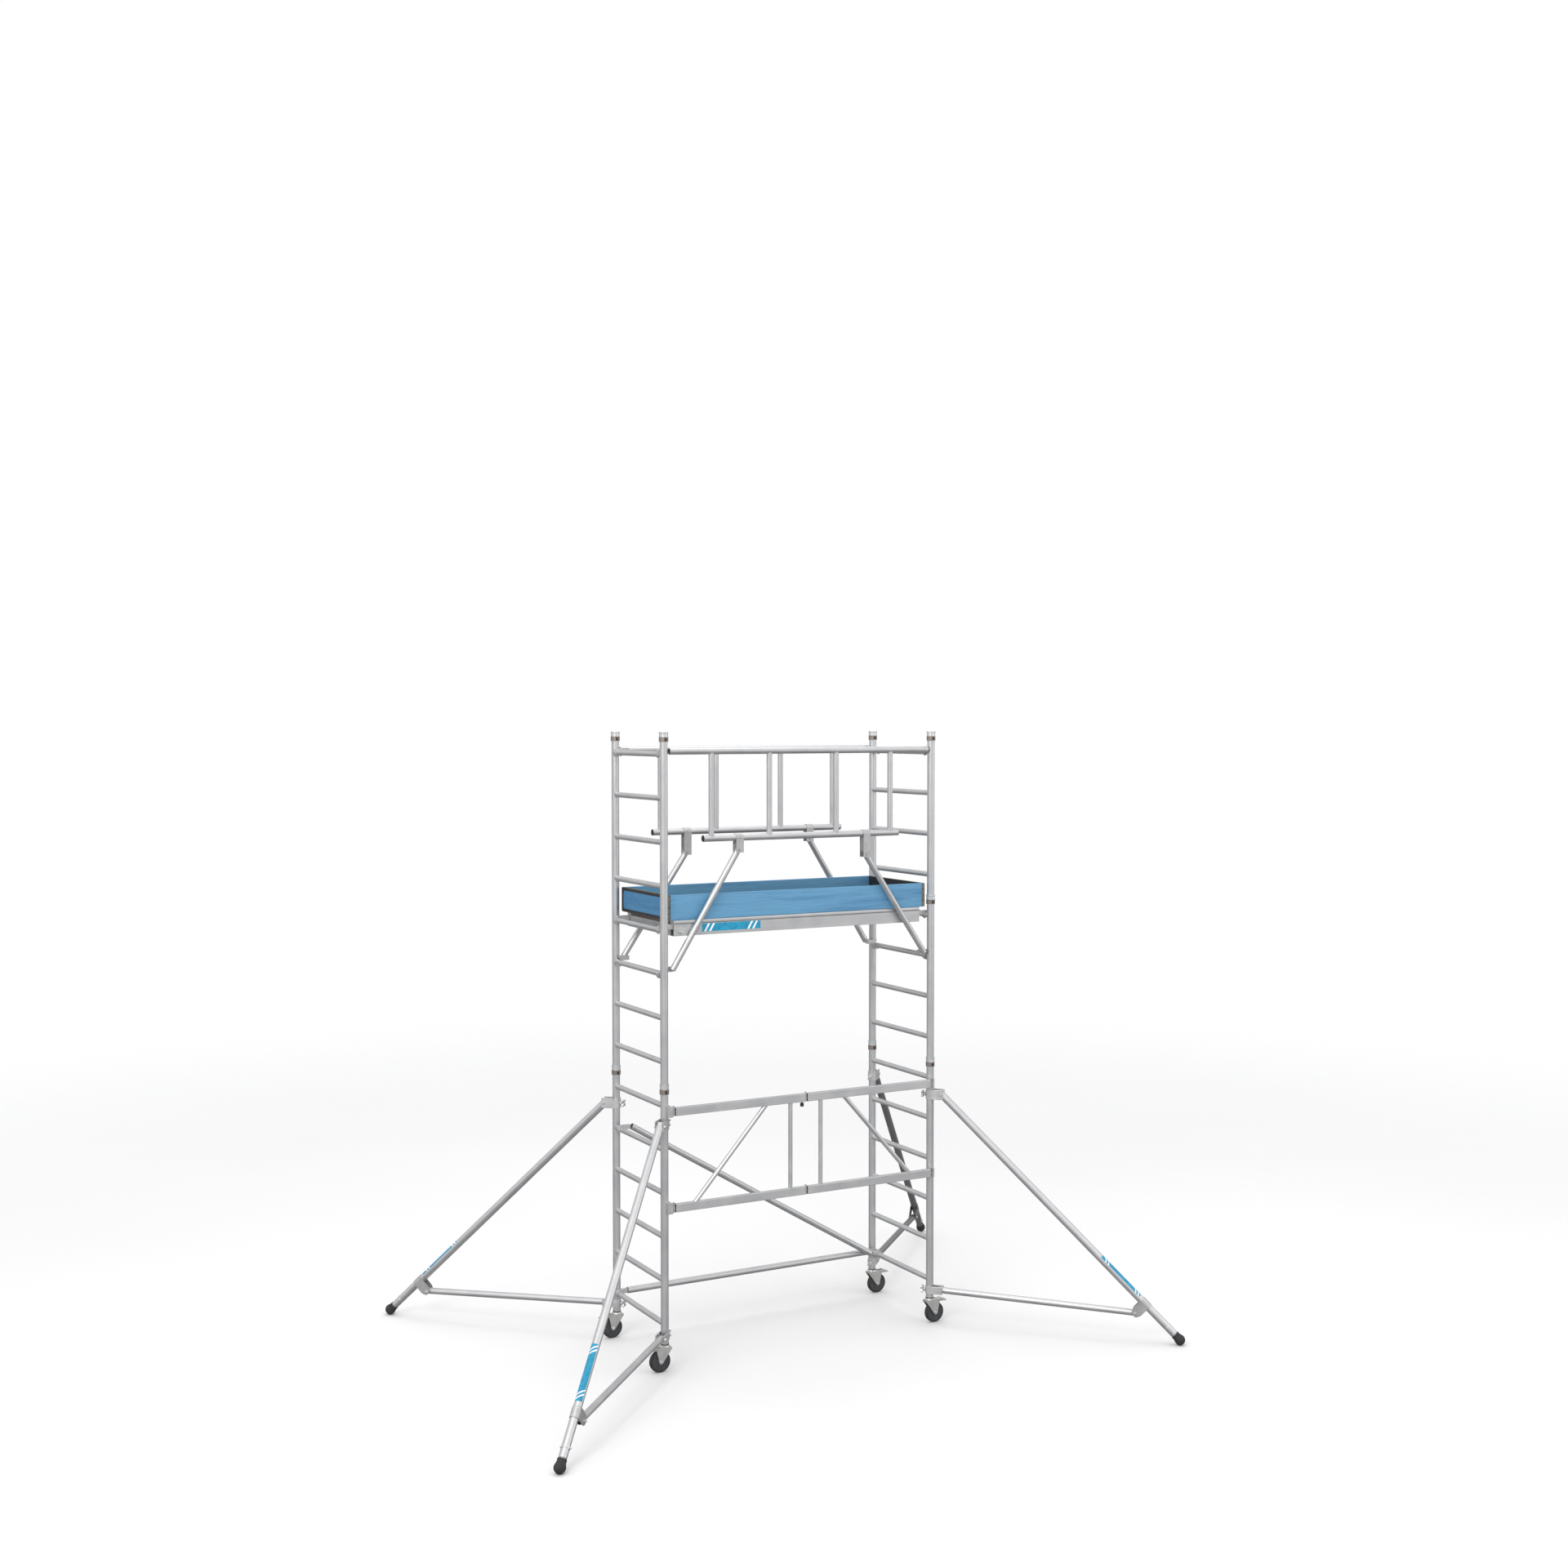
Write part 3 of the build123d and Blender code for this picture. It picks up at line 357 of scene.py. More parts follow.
def cast_metal(name, light, warm=NEUTRAL, roughness=(0.38, 0.56), grit=420.0, depth=0.18):
    """Cast or zinc plated metal: fine pitting and cloudy tone."""
    finish = Finish(name, metallic=0.85)
    clouds = finish.noise(26.0, 4.0)
    pits = finish.noise(grit, 3.0)
    low = tuple(light * 0.86 * c for c in warm)
    high = tuple(min(1.0, light * 1.05 * c) for c in warm)
    finish.colour(finish.ramp(clouds, [(0.3, low), (0.7, high)]))
    finish.rough(finish.ramp(clouds, [(0.3, roughness[0]), (0.7, roughness[1])]))
    finish.bump(pits, 0.35, depth)
    return finish.material


def plastic(name, colour, roughness=(0.38, 0.55), grit=600.0, depth=0.08):
    """Moulded plastic with a fine texture and slightly worn sheen."""
    finish = Finish(name)
    clouds = finish.noise(40.0, 3.0)
    grain = finish.noise(grit, 2.0)
    low = tuple(c * 0.85 for c in colour)
    high = tuple(min(1.0, c * 1.15) for c in colour)
    finish.colour(finish.ramp(clouds, [(0.35, low), (0.65, high)]))
    finish.rough(finish.ramp(clouds, [(0.35, roughness[0]), (0.65, roughness[1])]))
    finish.bump(grain, 0.3, depth)
    return finish.material


def rubber(name, colour=(0.018, 0.018, 0.02)):
    """Dull black rubber with dust caught in its grain."""
    finish = Finish(name)
    dust = finish.noise(60.0, 5.0)
    grain = finish.noise(900.0, 2.0)
    dusty = tuple(c + 0.03 for c in colour)
    finish.colour(finish.ramp(dust, [(0.45, colour), (0.8, dusty)]))
    finish.rough(finish.ramp(dust, [(0.3, 0.55), (0.75, 0.8)]))
    finish.bump(grain, 0.4, 0.1)
    return finish.material


def stained_ply(name, light, dark, axis="x"):
    """Blue stained plywood: long wavy grain with darker pores and a worn matt surface."""
    finish = Finish(name)
    scale = tuple(1.6 if letter == axis else 26.0 for letter in "xyz")
    figure = finish.noise(1.0, 6.0, finish.stretched(scale), 0.62)
    fine_scale = tuple(9.0 if letter == axis else 420.0 for letter in "xyz")
    pores = finish.noise(1.0, 3.0, finish.stretched(fine_scale))
    wash = finish.noise(3.0, 3.0)
    base = finish.ramp(figure, [(0.28, dark), (0.5, light), (0.75, tuple(0.9 * c for c in light))])
    shade = finish.ramp(pores, [(0.35, 0.82), (0.55, 1.0)])
    finish.colour(finish.mix(finish.ramp(wash, [(0.3, 0.5), (0.7, 0.9)]), base,
                             finish.mix(1.0, base, shade, "MULTIPLY")))
    finish.rough(finish.ramp(pores, [(0.3, 0.62), (0.7, 0.48)]))
    finish.bump(pores, 0.35, 0.15)
    finish.bump(figure, 0.15, 0.3)
    return finish.material


POSTS = aluminium("post_aluminium", "z", light=0.68, cross_axis="y", split=half_width - post_r)
RAILS_X = aluminium("rail_aluminium", "x", light=0.66)
GATE = aluminium("gate_aluminium", "x", light=0.72)
TUBE = aluminium("tube_aluminium", "z", light=0.68)
# Painted shade: a darker copy of the tube aluminium for the back-right stabiliser, which stands in
# shadow.
PAINTED_SHADE_TUBE = aluminium("shaded_tube_aluminium", "z", light=0.34)
CAST = cast_metal("cast_aluminium", 0.64)
ZINC = cast_metal("zinc_plate", 0.70, (1.0, 0.99, 0.96), (0.28, 0.42), 240.0, 0.08)
WELD = cast_metal("weld_metal", 0.62, (1.0, 0.99, 0.97), (0.34, 0.5), 300.0, 0.15)
BAND = cast_metal("clip_band", 0.34, (1.0, 0.86, 0.78), (0.4, 0.6), 300.0, 0.12)
SOCKET = cast_metal("socket_metal", 0.78, NEUTRAL, (0.3, 0.45), 200.0, 0.08)
SHEET = cast_metal("sheet_metal", 0.56, NEUTRAL, (0.4, 0.52), 700.0, 0.06)
# Painted shade: a darker copy of the sheet metal for the back-right saddle bracket, which stands in
# shadow.
PAINTED_SHADE_SHEET = cast_metal("shaded_sheet_metal", 0.30, NEUTRAL, (0.4, 0.52), 700.0, 0.06)
CLAMP = cast_metal("clamp_casting", 0.74, NEUTRAL, (0.32, 0.5), 380.0, 0.16)
BLACK = plastic("black_plastic", (0.016, 0.016, 0.018))
GREY = plastic("grey_hub_plastic", (0.055, 0.057, 0.062))
RUBBER = rubber("black_rubber")
TYRE = rubber("tyre_rubber", (0.022, 0.022, 0.024))
BLUE_PLY = stained_ply("blue_stained_ply", (0.115, 0.31, 0.50), (0.075, 0.22, 0.40))
BLUE_PANEL = stained_ply("blue_end_panel", (0.05, 0.20, 0.38), (0.035, 0.15, 0.31), "y")
BARE_PLY = stained_ply("bare_ply_edge", (0.25, 0.22, 0.15), (0.13, 0.11, 0.08), "y")
DECK = stained_ply("deck_ply", (0.11, 0.065, 0.04), (0.05, 0.03, 0.02))
CYAN = plastic("cyan_vinyl", (0.012, 0.27, 0.45), (0.25, 0.35), 200.0, 0.02)
WHITE = plastic("white_vinyl", (0.85, 0.86, 0.87), (0.25, 0.35), 200.0, 0.02)


def dress(finish, *nodes):
    """Gives CAD nodes a finish through their material slots."""
    for node in nodes:
        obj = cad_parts[node]
        for material_slot in obj.material_slots:
            material_slot.material = finish


dress(POSTS, "base_left_frame", "base_right_frame", "left_upper_frame",
      "right_middle_frame", "right_top_frame")
dress(SOCKET, "top_sockets", "joint_sockets")
dress(ZINC, "caster_stems", "gate_hinge_pins")
dress(CLAMP, "platform_catch")
dress(RAILS_X, "back_braces", "guardrail_legs", "front_guardrail", "back_guardrail", "platform_frame")
dress(CAST, "brace_claws", "guardrail_claws", "platform_hooks", "gate_post_lugs")
dress(SHEET, "guardrail_leg_brackets")
dress(GATE, "gate_left_leaf", "gate_right_leaf")
dress(BLACK, "gate_latch_button")
dress(DECK, "platform_deck", "platform_hatch")
for corner in CORNERS:
    dress(TUBE, f"{corner}_stabiliser_leg")

# ---- Weld beads ----
BEAD = 1.7 * MM


def saddle(centre, run, host, branch_r, host_r, steps=28):
    """Points of the seam where a round branch tube meets a round host tube.

    centre is on the host's axis, run the unit vector along the branch, host the host's axis."""
    across = run.cross(host).normalized()
    points = []
    for k in range(steps):
        t = 2 * math.pi * k / steps
        along_host = (branch_r + 0.4 * MM) * math.cos(t)
        aside = (branch_r + 0.4 * MM) * math.sin(t)
        depth = math.sqrt(max(host_r ** 2 - aside ** 2, 0.0))
        points.append(centre + host * along_host + across * aside + run * depth)
    return points


def frame_beads(name, side, first, count):
    """Weld beads at both ends of a ladder frame's rungs."""
    def build(bm):
        for index in range(first, first + count):
            for side_y in (-1, 1):
                centre = Vector((side * half_bay, side_y * half_width, rung_height(index)))
                seam = saddle(centre, Vector((0, -side_y, 0)), Vector((0, 0, 1)), rung_r, post_r)
                sweep(bm, seam, BEAD, 6)
    piece(f"{name}_weld_beads", TOWER, WELD, build)


frame_beads("base_left_frame", -1, 0, 6)
frame_beads("base_right_frame", 1, 0, 6)
frame_beads("left_upper_frame", -1, 6, 8)
frame_beads("right_middle_frame", 1, 6, 4)
frame_beads("right_top_frame", 1, 10, 4)

# ---- Sockets' interlock clips and the rings under the posts ----
socket_engagement = 30 * MM
top_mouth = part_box("top_sockets")[1].z
middle_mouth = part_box("joint_sockets")[1].z
base_mouth = base_high.z + socket_engagement
socket_mouths = [
    (side_x * half_bay, side_y * half_width, mouth)
    for mouth in (top_mouth, base_mouth) for side_x, side_y in CORNERS.values()
]
socket_mouths += [(half_bay, y, middle_mouth) for y in (-half_width, half_width)]

# Measures of a clip, in millimetres: radii, then levels below the socket's mouth.
CLIP_INNER = 25.6
CLIP_OUTER = 27.0
CLIP_LOW = -54
CLIP_HIGH = -30
LIP_OUTER = 27.2
LIP = 1.4


def ribbed_ring(bm, inner, low, high, outer, depth, ribs, at):
    """A band with upright ribs around its outside."""
    count = ribs * 4
    turns = [2 * math.pi * k / count for k in range(count)]
    radii = [outer if k % 4 in (0, 1) else outer - depth for k in range(count)]
    loops = []
    for level, inside in ((low, True), (low, False), (high, False), (high, True)):
        loops.append([
            bm.verts.new(at @ (Vector((r * math.cos(t), r * math.sin(t), level)) * MM))
            for t, r in zip(turns, [inner] * count if inside else radii)
        ])
    for near, far in zip(loops, loops[1:] + loops[:1]):
        for k in range(count):
            m = (k + 1) % count
            bm.faces.new((near[k], near[m], far[m], far[k]))


def clip_bands(bm):
    """Ribbed spring bands with a smooth lip above and below."""
    for place in socket_mouths:
        at = Matrix.Translation(place)
        ribbed_ring(bm, CLIP_INNER, CLIP_LOW, CLIP_HIGH, CLIP_OUTER, 0.7, 26, at)
        for low in (CLIP_HIGH, CLIP_LOW - LIP):
            lip = [(CLIP_INNER, low), (LIP_OUTER, low), (LIP_OUTER, low + LIP), (CLIP_INNER, low + LIP)]
            lathe(bm, lip, 56, at)


def clip_tabs(bm):
    """The black finger tab on each clip."""
    for place in socket_mouths:
        at = Matrix.Translation(place)
        plate(bm, rounded(rectangle(11, 3.4, 0, -28.2), 1.2), -51, -34, at)


piece("clip_bands", TOWER, BAND, clip_bands, replaces=("interlock_clips",))
piece("clip_finger_tabs", TOWER, BLACK, clip_tabs, bevel=0.6)


def post_rings(bm):
    """Black plastic bush in the mouth of each post, above the caster."""
    for side_x, side_y in CORNERS.values():
        at = Matrix.Translation((side_x * half_bay, side_y * half_width, post_foot * MM))
        lathe(bm, [(23.7, -4.6), (24.6, -4.0), (24.6, -0.6), (23.7, 0.0)], 48, at)


piece("post_foot_rings", TOWER, BLACK, post_rings)

# ---- Casters ----
WHEEL_R = 62.5
TRAIL = 32                 # from the post's axis back to the axle
CROWN = 131                # level of the fork's shoulders
CHEEK = 20                 # from the middle of the wheel to a cheek's inner face
UPRIGHT = Matrix.Rotation(math.pi / 2, 4, "X")


def hexagon_bolt(bm, half_grip, at, shank=5.0, head=9.0):
    """A bolt along local Z with a washer and a hexagon at each end."""
    lathe(bm, rod_profile(shank, -half_grip - 9, half_grip + 6), 24, at)
    for side in (-1, 1):
        face = side * half_grip
        washer = sorted((face, face + side * 1.2))
        rim = head + 2
        lathe(bm, [(shank, washer[0]), (rim, washer[0]), (rim, washer[1]), (shank, washer[1])], 32, at)
        base = face + side * 1.2
        shoulder = base + side * 4.4
        crown = base + side * 5.4
        lathe(bm, [(0, base), (head, base), (head, shoulder), (head * 0.84, crown), (0, crown)], 6, at)


def caster(corner, side_x, side_y):
    """One caster: fork, ball race, axle, wheel and brake pedal."""
    turn = Matrix.Rotation(0 if side_x > 0 else math.pi, 4, "Z")
    view = Matrix.Translation((side_x * half_bay, side_y * half_width, 0)) @ turn
    axle = view @ Matrix.Translation((TRAIL * MM, 0, WHEEL_R * MM)) @ UPRIGHT
    cheek = hull([(-33, CROWN + 6, 4), (36, CROWN + 6, 4), (52, CROWN + 3, 9), (TRAIL, WHEEL_R, 13)])
    fork, wheel, pedal = (f"{corner}_caster_{part}" for part in ("fork", "wheel", "brake_pedal"))

    def fork_shell(bm):
        for low, high in ((-CHEEK - 4, -CHEEK), (CHEEK, CHEEK + 4)):
            plate(bm, cheek, low, high, UPRIGHT)
        plate(bm, rounded(rectangle(76, 2 * CHEEK, 2, 0), 5), CROWN + 3, CROWN + 10)

    def race(bm):
        lathe(bm, [(0, CROWN + 10), (27, CROWN + 10), (30, CROWN + 11.5), (30, CROWN + 13.5),
                   (27, CROWN + 17), (25.5, CROWN + 20.6), (0, CROWN + 20.6)], 56)

    def axle_bolt(bm):
        hexagon_bolt(bm, CHEEK + 4, Matrix(), 5, 8.5)

    def tyre(bm):
        section = [(49.5, -14), (55, -15.6), (59, -14.8), (61.4, -11.5), (62.5, -5), (62.5, 5),
                   (61.4, 11.5), (59, 14.8), (55, 15.6), (49.5, 14)]
        lathe(bm, section, 72)

    def hub(bm):
        half = [(5.1, -18), (14, -18), (15, -17), (15, -14), (22, -13), (23.5, -9.5), (38, -9.5),
                (40, -12.6), (47.5, -13.6), (49.4, -12.8)]
        lathe(bm, half + [(r, -z) for r, z in half[::-1]], 72)

    def spokes(bm):
        for k in range(6):
            at = Matrix.Rotation(k * math.pi / 3, 4, "Z")
            for low, high in ((-12, -9.3), (9.3, 12)):
                plate(bm, rounded(rectangle(17, 3.4, 30.5, 0), 1), low, high, at)

    def pedal_plate(bm):
        outline = hull([(52, CROWN + 3, 7), (76, CROWN + 10, 5), (112, CROWN - 2, 3)])
        plate(bm, outline, -17.5, 17.5, UPRIGHT)

    def pedal_treads(bm):
        for k in range(5):
            level = CROWN + 8.2 - 2.05 * k
            plate(bm, rectangle(2.0, 30, 85 + 5.5 * k, 0), level, level + 1.6)

    piece(f"{corner}_fork_shell", f"{corner}_fork", ZINC, fork_shell, view, 1.2, (fork,))
    piece(f"{corner}_ball_race", f"{corner}_fork", ZINC, race, view)
    piece(f"{corner}_axle_bolt", f"{corner}_fork", ZINC, axle_bolt, axle)
    piece(f"{corner}_tyre", f"{corner}_wheel", TYRE, tyre, axle, 0.0, (wheel,))
    piece(f"{corner}_hub", f"{corner}_wheel", GREY, hub, axle)
    piece(f"{corner}_hub_spokes", f"{corner}_wheel", GREY, spokes, axle, 0.6)
    piece(f"{corner}_pedal_plate", f"{corner}_pedal", ZINC, pedal_plate, view, 1.6, (pedal,))
    piece(f"{corner}_pedal_treads", f"{corner}_pedal", ZINC, pedal_treads, view, 0.3)


for corner, (side_x, side_y) in CORNERS.items():
    caster(corner, side_x, side_y)

# ---- Stabilisers ----
upper_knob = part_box("front_right_stabiliser_upper_knob")
lower_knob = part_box("front_right_stabiliser_lower_knob")
FOOT_BALL = 32
PIVOT_R = 72               # from the post's axis out to the pivot bolts
pivot_z = (upper_knob[0].z + upper_knob[1].z) / 2 / MM
root_z = (lower_knob[0].z + lower_knob[1].z) / 2 / MM
foot_x = (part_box("front_right_stabiliser_foot")[1].x - half_bay) / MM - FOOT_BALL
foot_r = foot_x * math.sqrt(2)
TILT = math.atan2(pivot_z - FOOT_BALL, foot_r - PIVOT_R)
RUN = math.hypot(pivot_z - FOOT_BALL, foot_r - PIVOT_R)

# Places down the arm from its pivot, and sizes across it.
ARM_R = 22.5
ARM_END = RUN - 46
STUD = RUN - 103
BRACKET = RUN - 285
BRACKET_LENGTH = 62
DROP = 80                  # from the arm's axis to the strut's bolt
DECAL = (RUN - 655, RUN - 340)
DECAL_SPREAD = 1.05
STRUT_R = 19
SADDLE_INNER = ARM_R + 0.1
SADDLE_OUTER = ARM_R + 3.6
CLAMP_INNER = 22.8
CLAMP_OUTER = 27.5
CLAMPS = ((pivot_z, 60, PIVOT_R + 14), (root_z, 46, PIVOT_R + 12))   # height, depth, reach


def along_arm(distance, drop=0.0):
    """(outward, up) of a point down the arm and square below it, in millimetres."""
    outward = PIVOT_R + distance * math.cos(TILT) - drop * math.sin(TILT)
    up = pivot_z - distance * math.sin(TILT) - drop * math.cos(TILT)
    return outward, up


def wrap(bm, inner, outer, spread, low, high, skew=0.0, steps=14):
    """A thin skin on the upper side of a tube along local Z; skew slants its ends."""
    loops = []
    for k in range(steps + 1):
        share = 2 * k / steps - 1
        t = math.pi + spread * share
        loops.append([
            bm.verts.new(Vector((r * math.cos(t), r * math.sin(t), z + skew * share)) * MM)
            for r, z in ((inner, low), (outer, low), (outer, high), (inner, high))
        ])
    for near, far in zip(loops, loops[1:]):
        for k in range(4):
            m = (k + 1) % 4
            bm.faces.new((near[k], near[m], far[m], far[k]))
    bm.faces.new(loops[0])
    bm.faces.new(loops[-1])


def stabiliser(corner, side_x, side_y):
    """One stabiliser: arm, strut, brackets, clamps and foot, standing out at 45 degrees."""
    side = Matrix.Translation((side_x * half_bay, side_y * half_width, 0))
    side = side @ Matrix.Rotation(math.atan2(side_y, side_x), 4, "Z")
    arm = side @ Matrix.Translation((PIVOT_R * MM, 0, pivot_z * MM))
    arm = arm @ Matrix.Rotation(math.pi / 2 + TILT, 4, "Y")
    strut_out, strut_up = along_arm(BRACKET, DROP)
    node = f"{corner}_stabiliser_arm"
    body = f"{corner}_arm"
    # The back-right arm, strut and saddle take the darker copies: painted shade for a stabiliser that
    # stands in shadow.
    tube_finish = PAINTED_SHADE_TUBE if corner == "back_right" else TUBE
    sheet_finish = PAINTED_SHADE_SHEET if corner == "back_right" else SHEET

    def arm_tube(bm):
        lathe(bm, tube_profile(ARM_R, ARM_R - 2, -18, ARM_END, 1.0), 56)

    def strut(bm):
        length = math.hypot(strut_out - PIVOT_R, strut_up - root_z)
        lathe(bm, tube_profile(STRUT_R, STRUT_R - 2, -12, length + 12, 1.0), 48)

    def bracket(bm):
        """Folded sheet saddle: it wraps over the tube, and its two cheeks hang below."""
        low, high = BRACKET - BRACKET_LENGTH / 2, BRACKET + BRACKET_LENGTH / 2
        wrap(bm, SADDLE_INNER, SADDLE_OUTER, math.pi / 2, low, high, 0, 24)
        cheek = rounded([
            (0, low), (0, high), (DROP - 12, high), (DROP + 14, high - 12), (DROP + 19, BRACKET),
            (DROP + 14, low + 12), (DROP - 12, low),
        ], 9)
        for start, stop in ((SADDLE_INNER, SADDLE_OUTER), (-SADDLE_OUTER, -SADDLE_INNER)):
            plate(bm, [(x, -z) for x, z in cheek], start, stop, UPRIGHT.inverted())

    def bracket_rivets(bm):
        """Four rivets over the top of the saddle."""
        for along in (-19, 19):
            for turn in (-0.55, 0.55):
                at = Matrix.Translation((0, 0, (BRACKET + along) * MM))
                at = at @ Matrix.Rotation(math.pi + turn, 4, "Z")
                at = at @ Matrix.Translation(((ARM_R + 3.4) * MM, 0, 0))
                at = at @ Matrix.Rotation(math.pi / 2, 4, "Y")
                lathe(bm, [(0, 0), (4.2, 0), (4.0, 1.0), (2.6, 2.0), (0, 2.5)], 20, at)

    def clamps(bm):
        """Straps bent round the post, with a boss for the star knob's bolt."""
        for level, height, reach in CLAMPS:
            arc = [math.pi / 2 + math.pi * k / 20 for k in range(21)]
            outer = [(CLAMP_OUTER * math.cos(t), CLAMP_OUTER * math.sin(t)) for t in arc]
            inner = [(CLAMP_INNER * math.cos(t), CLAMP_INNER * math.sin(t)) for t in arc[::-1]]
            outline = [(reach, CLAMP_OUTER), *outer, (reach, -CLAMP_OUTER)]
            outline += [(reach, -CLAMP_INNER), *inner, (reach, CLAMP_INNER)]
            plate(bm, outline, level - height / 2, level + height / 2)
            boss = Matrix.Translation((-27 * MM, 0, level * MM))
            boss = boss @ Matrix.Rotation(-math.pi / 2, 4, "Y")
            lathe(bm, [(4.3, 0), (11, 0), (10, 9.4), (4.3, 9.4)], 32, boss)

    def clamp_ribs(bm):
        """Raised edges on the clamp cheeks."""
        for level, height, _ in CLAMPS:
            for face in (-1, 1):
                for edge in (-1, 1):
                    z = level + edge * (height / 2 - 4)
                    y = face * 28.2
                    plate(bm, rounded(rectangle(58, 1.8, 44, y), 0.6), z - 1.6, z + 1.6)

    def bolts(bm):
        """The pivot bolts of both clamps and the bolt that joins the strut to the saddle."""
        for outward, up, grip in (
            (PIVOT_R, pivot_z, CLAMP_OUTER),
            (PIVOT_R, root_z, CLAMP_OUTER),
            (strut_out, strut_up, SADDLE_OUTER),
        ):
            at = Matrix.Translation((outward * MM, 0, up * MM)) @ UPRIGHT
            hexagon_bolt(bm, grip, at)

    def stud_clip(bm):
        """Spring clip whose studs go through the tube and lock the leg."""
        wrap(bm, SADDLE_INNER, ARM_R + 2, 2.3, STUD - 7, STUD + 7, 0, 24)
        across = Matrix.Translation((0, 0, STUD * MM)) @ UPRIGHT
        lathe(bm, rod_profile(5.4, -ARM_R - 8, ARM_R + 8, 1.4), 24, across)
        small = Matrix.Translation((0, 0, (STUD + 22) * MM)) @ UPRIGHT
        lathe(bm, rod_profile(3.2, -ARM_R - 2.4, ARM_R + 2.4, 1.0), 20, small)

    def decal(bm):
        wrap(bm, ARM_R + 0.05, ARM_R + 0.3, DECAL_SPREAD, DECAL[0], DECAL[1], 0, 20)

    def decal_slashes(bm):
        for place in (DECAL[0] + 24, DECAL[0] + 46, DECAL[1] - 46, DECAL[1] - 24):
            wrap(bm, ARM_R + 0.3, ARM_R + 0.45, DECAL_SPREAD, place - 4.5, place + 4.5, 16, 16)

    def foot(bm):
        """Rubber boot: a ribbed sleeve that swells into a ball."""
        start = RUN - 42
        ball_r = FOOT_BALL - 0.4
        sleeve = [
            (0, start + 14), (20.1, start + 14), (20.1, start), (24.2, start), (25.4, start + 1.5),
            (25.4, start + 6), (24.6, start + 7.5), (24.8, start + 16), (26.5, start + 20),
        ]
        ball = [
            (ball_r * math.sin(math.radians(a)), RUN + ball_r * math.cos(math.radians(a)))
            for a in range(120, 0, -12)
        ]
        lathe(bm, sleeve + ball + [(0, RUN + ball_r)], 56)

    def star_knob(level):
        """Four winged hand knob on its bolt, facing in to the tower."""
        def build(bm):
            outline = []
            for k in range(96):
                t = 2 * math.pi * k / 96
                wing = math.cos(4 * t)
                r = 15.5 + 10.0 * max(0.0, wing) ** 0.8 - 3.5 * max(0.0, -wing)
                outline.append((r * math.cos(t + math.pi / 4), r * math.sin(t + math.pi / 4)))
            plate(bm, outline, 2, 14)
            lathe(bm, [(0, 0), (9, 0), (9.4, 2), (0, 2)], 32)
            lathe(bm, [(0, 14), (8.5, 14), (8.0, 16), (5, 17), (0, 17)], 32)
            lathe(bm, rod_profile(3.9, -15, 0.1, 0.6), 20)
        at = side @ Matrix.Translation((-38 * MM, 0, level * MM))
        return build, at @ Matrix.Rotation(-math.pi / 2, 4, "Y")

    own = (node,)
    piece(f"{corner}_arm_tube", body, tube_finish, arm_tube, arm, 0, own)
    start, stop = Vector((PIVOT_R, 0, root_z)) * MM, Vector((strut_out, 0, strut_up)) * MM
    piece(f"{corner}_strut", body, tube_finish, strut, side @ toward(start, stop), 0, own)
    piece(f"{corner}_saddle_bracket", body, sheet_finish, bracket, arm, 0.8, own)
    piece(f"{corner}_saddle_rivets", body, ZINC, bracket_rivets, arm, 0, own)
    piece(f"{corner}_post_clamps", body, CLAMP, clamps, side, 1.0, own)
    piece(f"{corner}_clamp_ribs", body, CLAMP, clamp_ribs, side, 0.4, own)
    piece(f"{corner}_arm_bolts", body, ZINC, bolts, side, 0, own)
    piece(f"{corner}_stud_clip", body, ZINC, stud_clip, arm, 0, own)
    piece(f"{corner}_decal", body, CYAN, decal, arm)
    piece(f"{corner}_decal_slashes", body, WHITE, decal_slashes, arm)
    boot = f"{corner}_stabiliser_foot"
    piece(f"{corner}_rubber_boot", f"{corner}_leg", RUBBER, foot, arm, 0, (boot,))
    for place, level in (("upper", pivot_z), ("lower", root_z)):
        build, at = star_knob(level)
        knob = f"{corner}_stabiliser_{place}_knob"
        turning = f"{corner}_{place}_knob"
        piece(f"{corner}_{place}_star_knob", turning, CLAMP, build, at, 1.6, (knob,))


for corner, (side_x, side_y) in CORNERS.items():
    stabiliser(corner, side_x, side_y)

# ---- Guardrails ----
guard_low, guard_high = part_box("front_guardrail")
guard_y = (guard_low.y + guard_high.y) / 2
rail_r = 19 * MM
baluster_r = 16 * MM
top_rail = guard_high.z - rail_r
mid_rail = guard_low.z + rail_r
mid_rail_end = half_bay - 245 * MM
leg_pivot_x = half_bay - 472 * MM
BALUSTERS_X = [sign * x for x in (half_bay / 4, half_bay - 298 * MM) for sign in (-1, 1)]


def guardrail_beads(bm, y):
    """Weld beads where the balusters meet both rails."""
    along = Vector((1, 0, 0))
    for x in BALUSTERS_X:
        for level, up in ((top_rail, -1), (mid_rail, 1)):
            seam = saddle(Vector((x, y, level)), Vector((0, 0, up)), along, baluster_r, rail_r)
            sweep(bm, seam, BEAD, 6)


def rail_plugs(bm, y):
    """Black end plugs of the middle rail."""
    profile = [(0, -14), (16.6, -14), (16.8, 0), (18.6, 0), (18.4, 2.4), (16.5, 3.2), (0, 3.6)]
    for side in (-1, 1):
        at = Matrix.Translation((side * mid_rail_end, y, mid_rail))
        lathe(bm, profile, 40, at @ Matrix.Rotation(side * math.pi / 2, 4, "Y"))


for place, y in (("front", guard_y), ("back", -guard_y)):
    piece(f"{place}_baluster_welds", TOWER, WELD, lambda bm, y=y: guardrail_beads(bm, y))
    piece(f"{place}_rail_plugs", TOWER, BLACK, lambda bm, y=y: rail_plugs(bm, y))


def rivet(bm, place, normal, radius=4.0):
    """A domed rivet head at a place in metres, facing along normal."""
    at = toward(place, Vector(place) + Vector(normal))
    lathe(bm, [(0, -1), (radius, -1), (radius, 0.4), (radius * 0.7, 1.5), (0, 2.0)], 20, at)


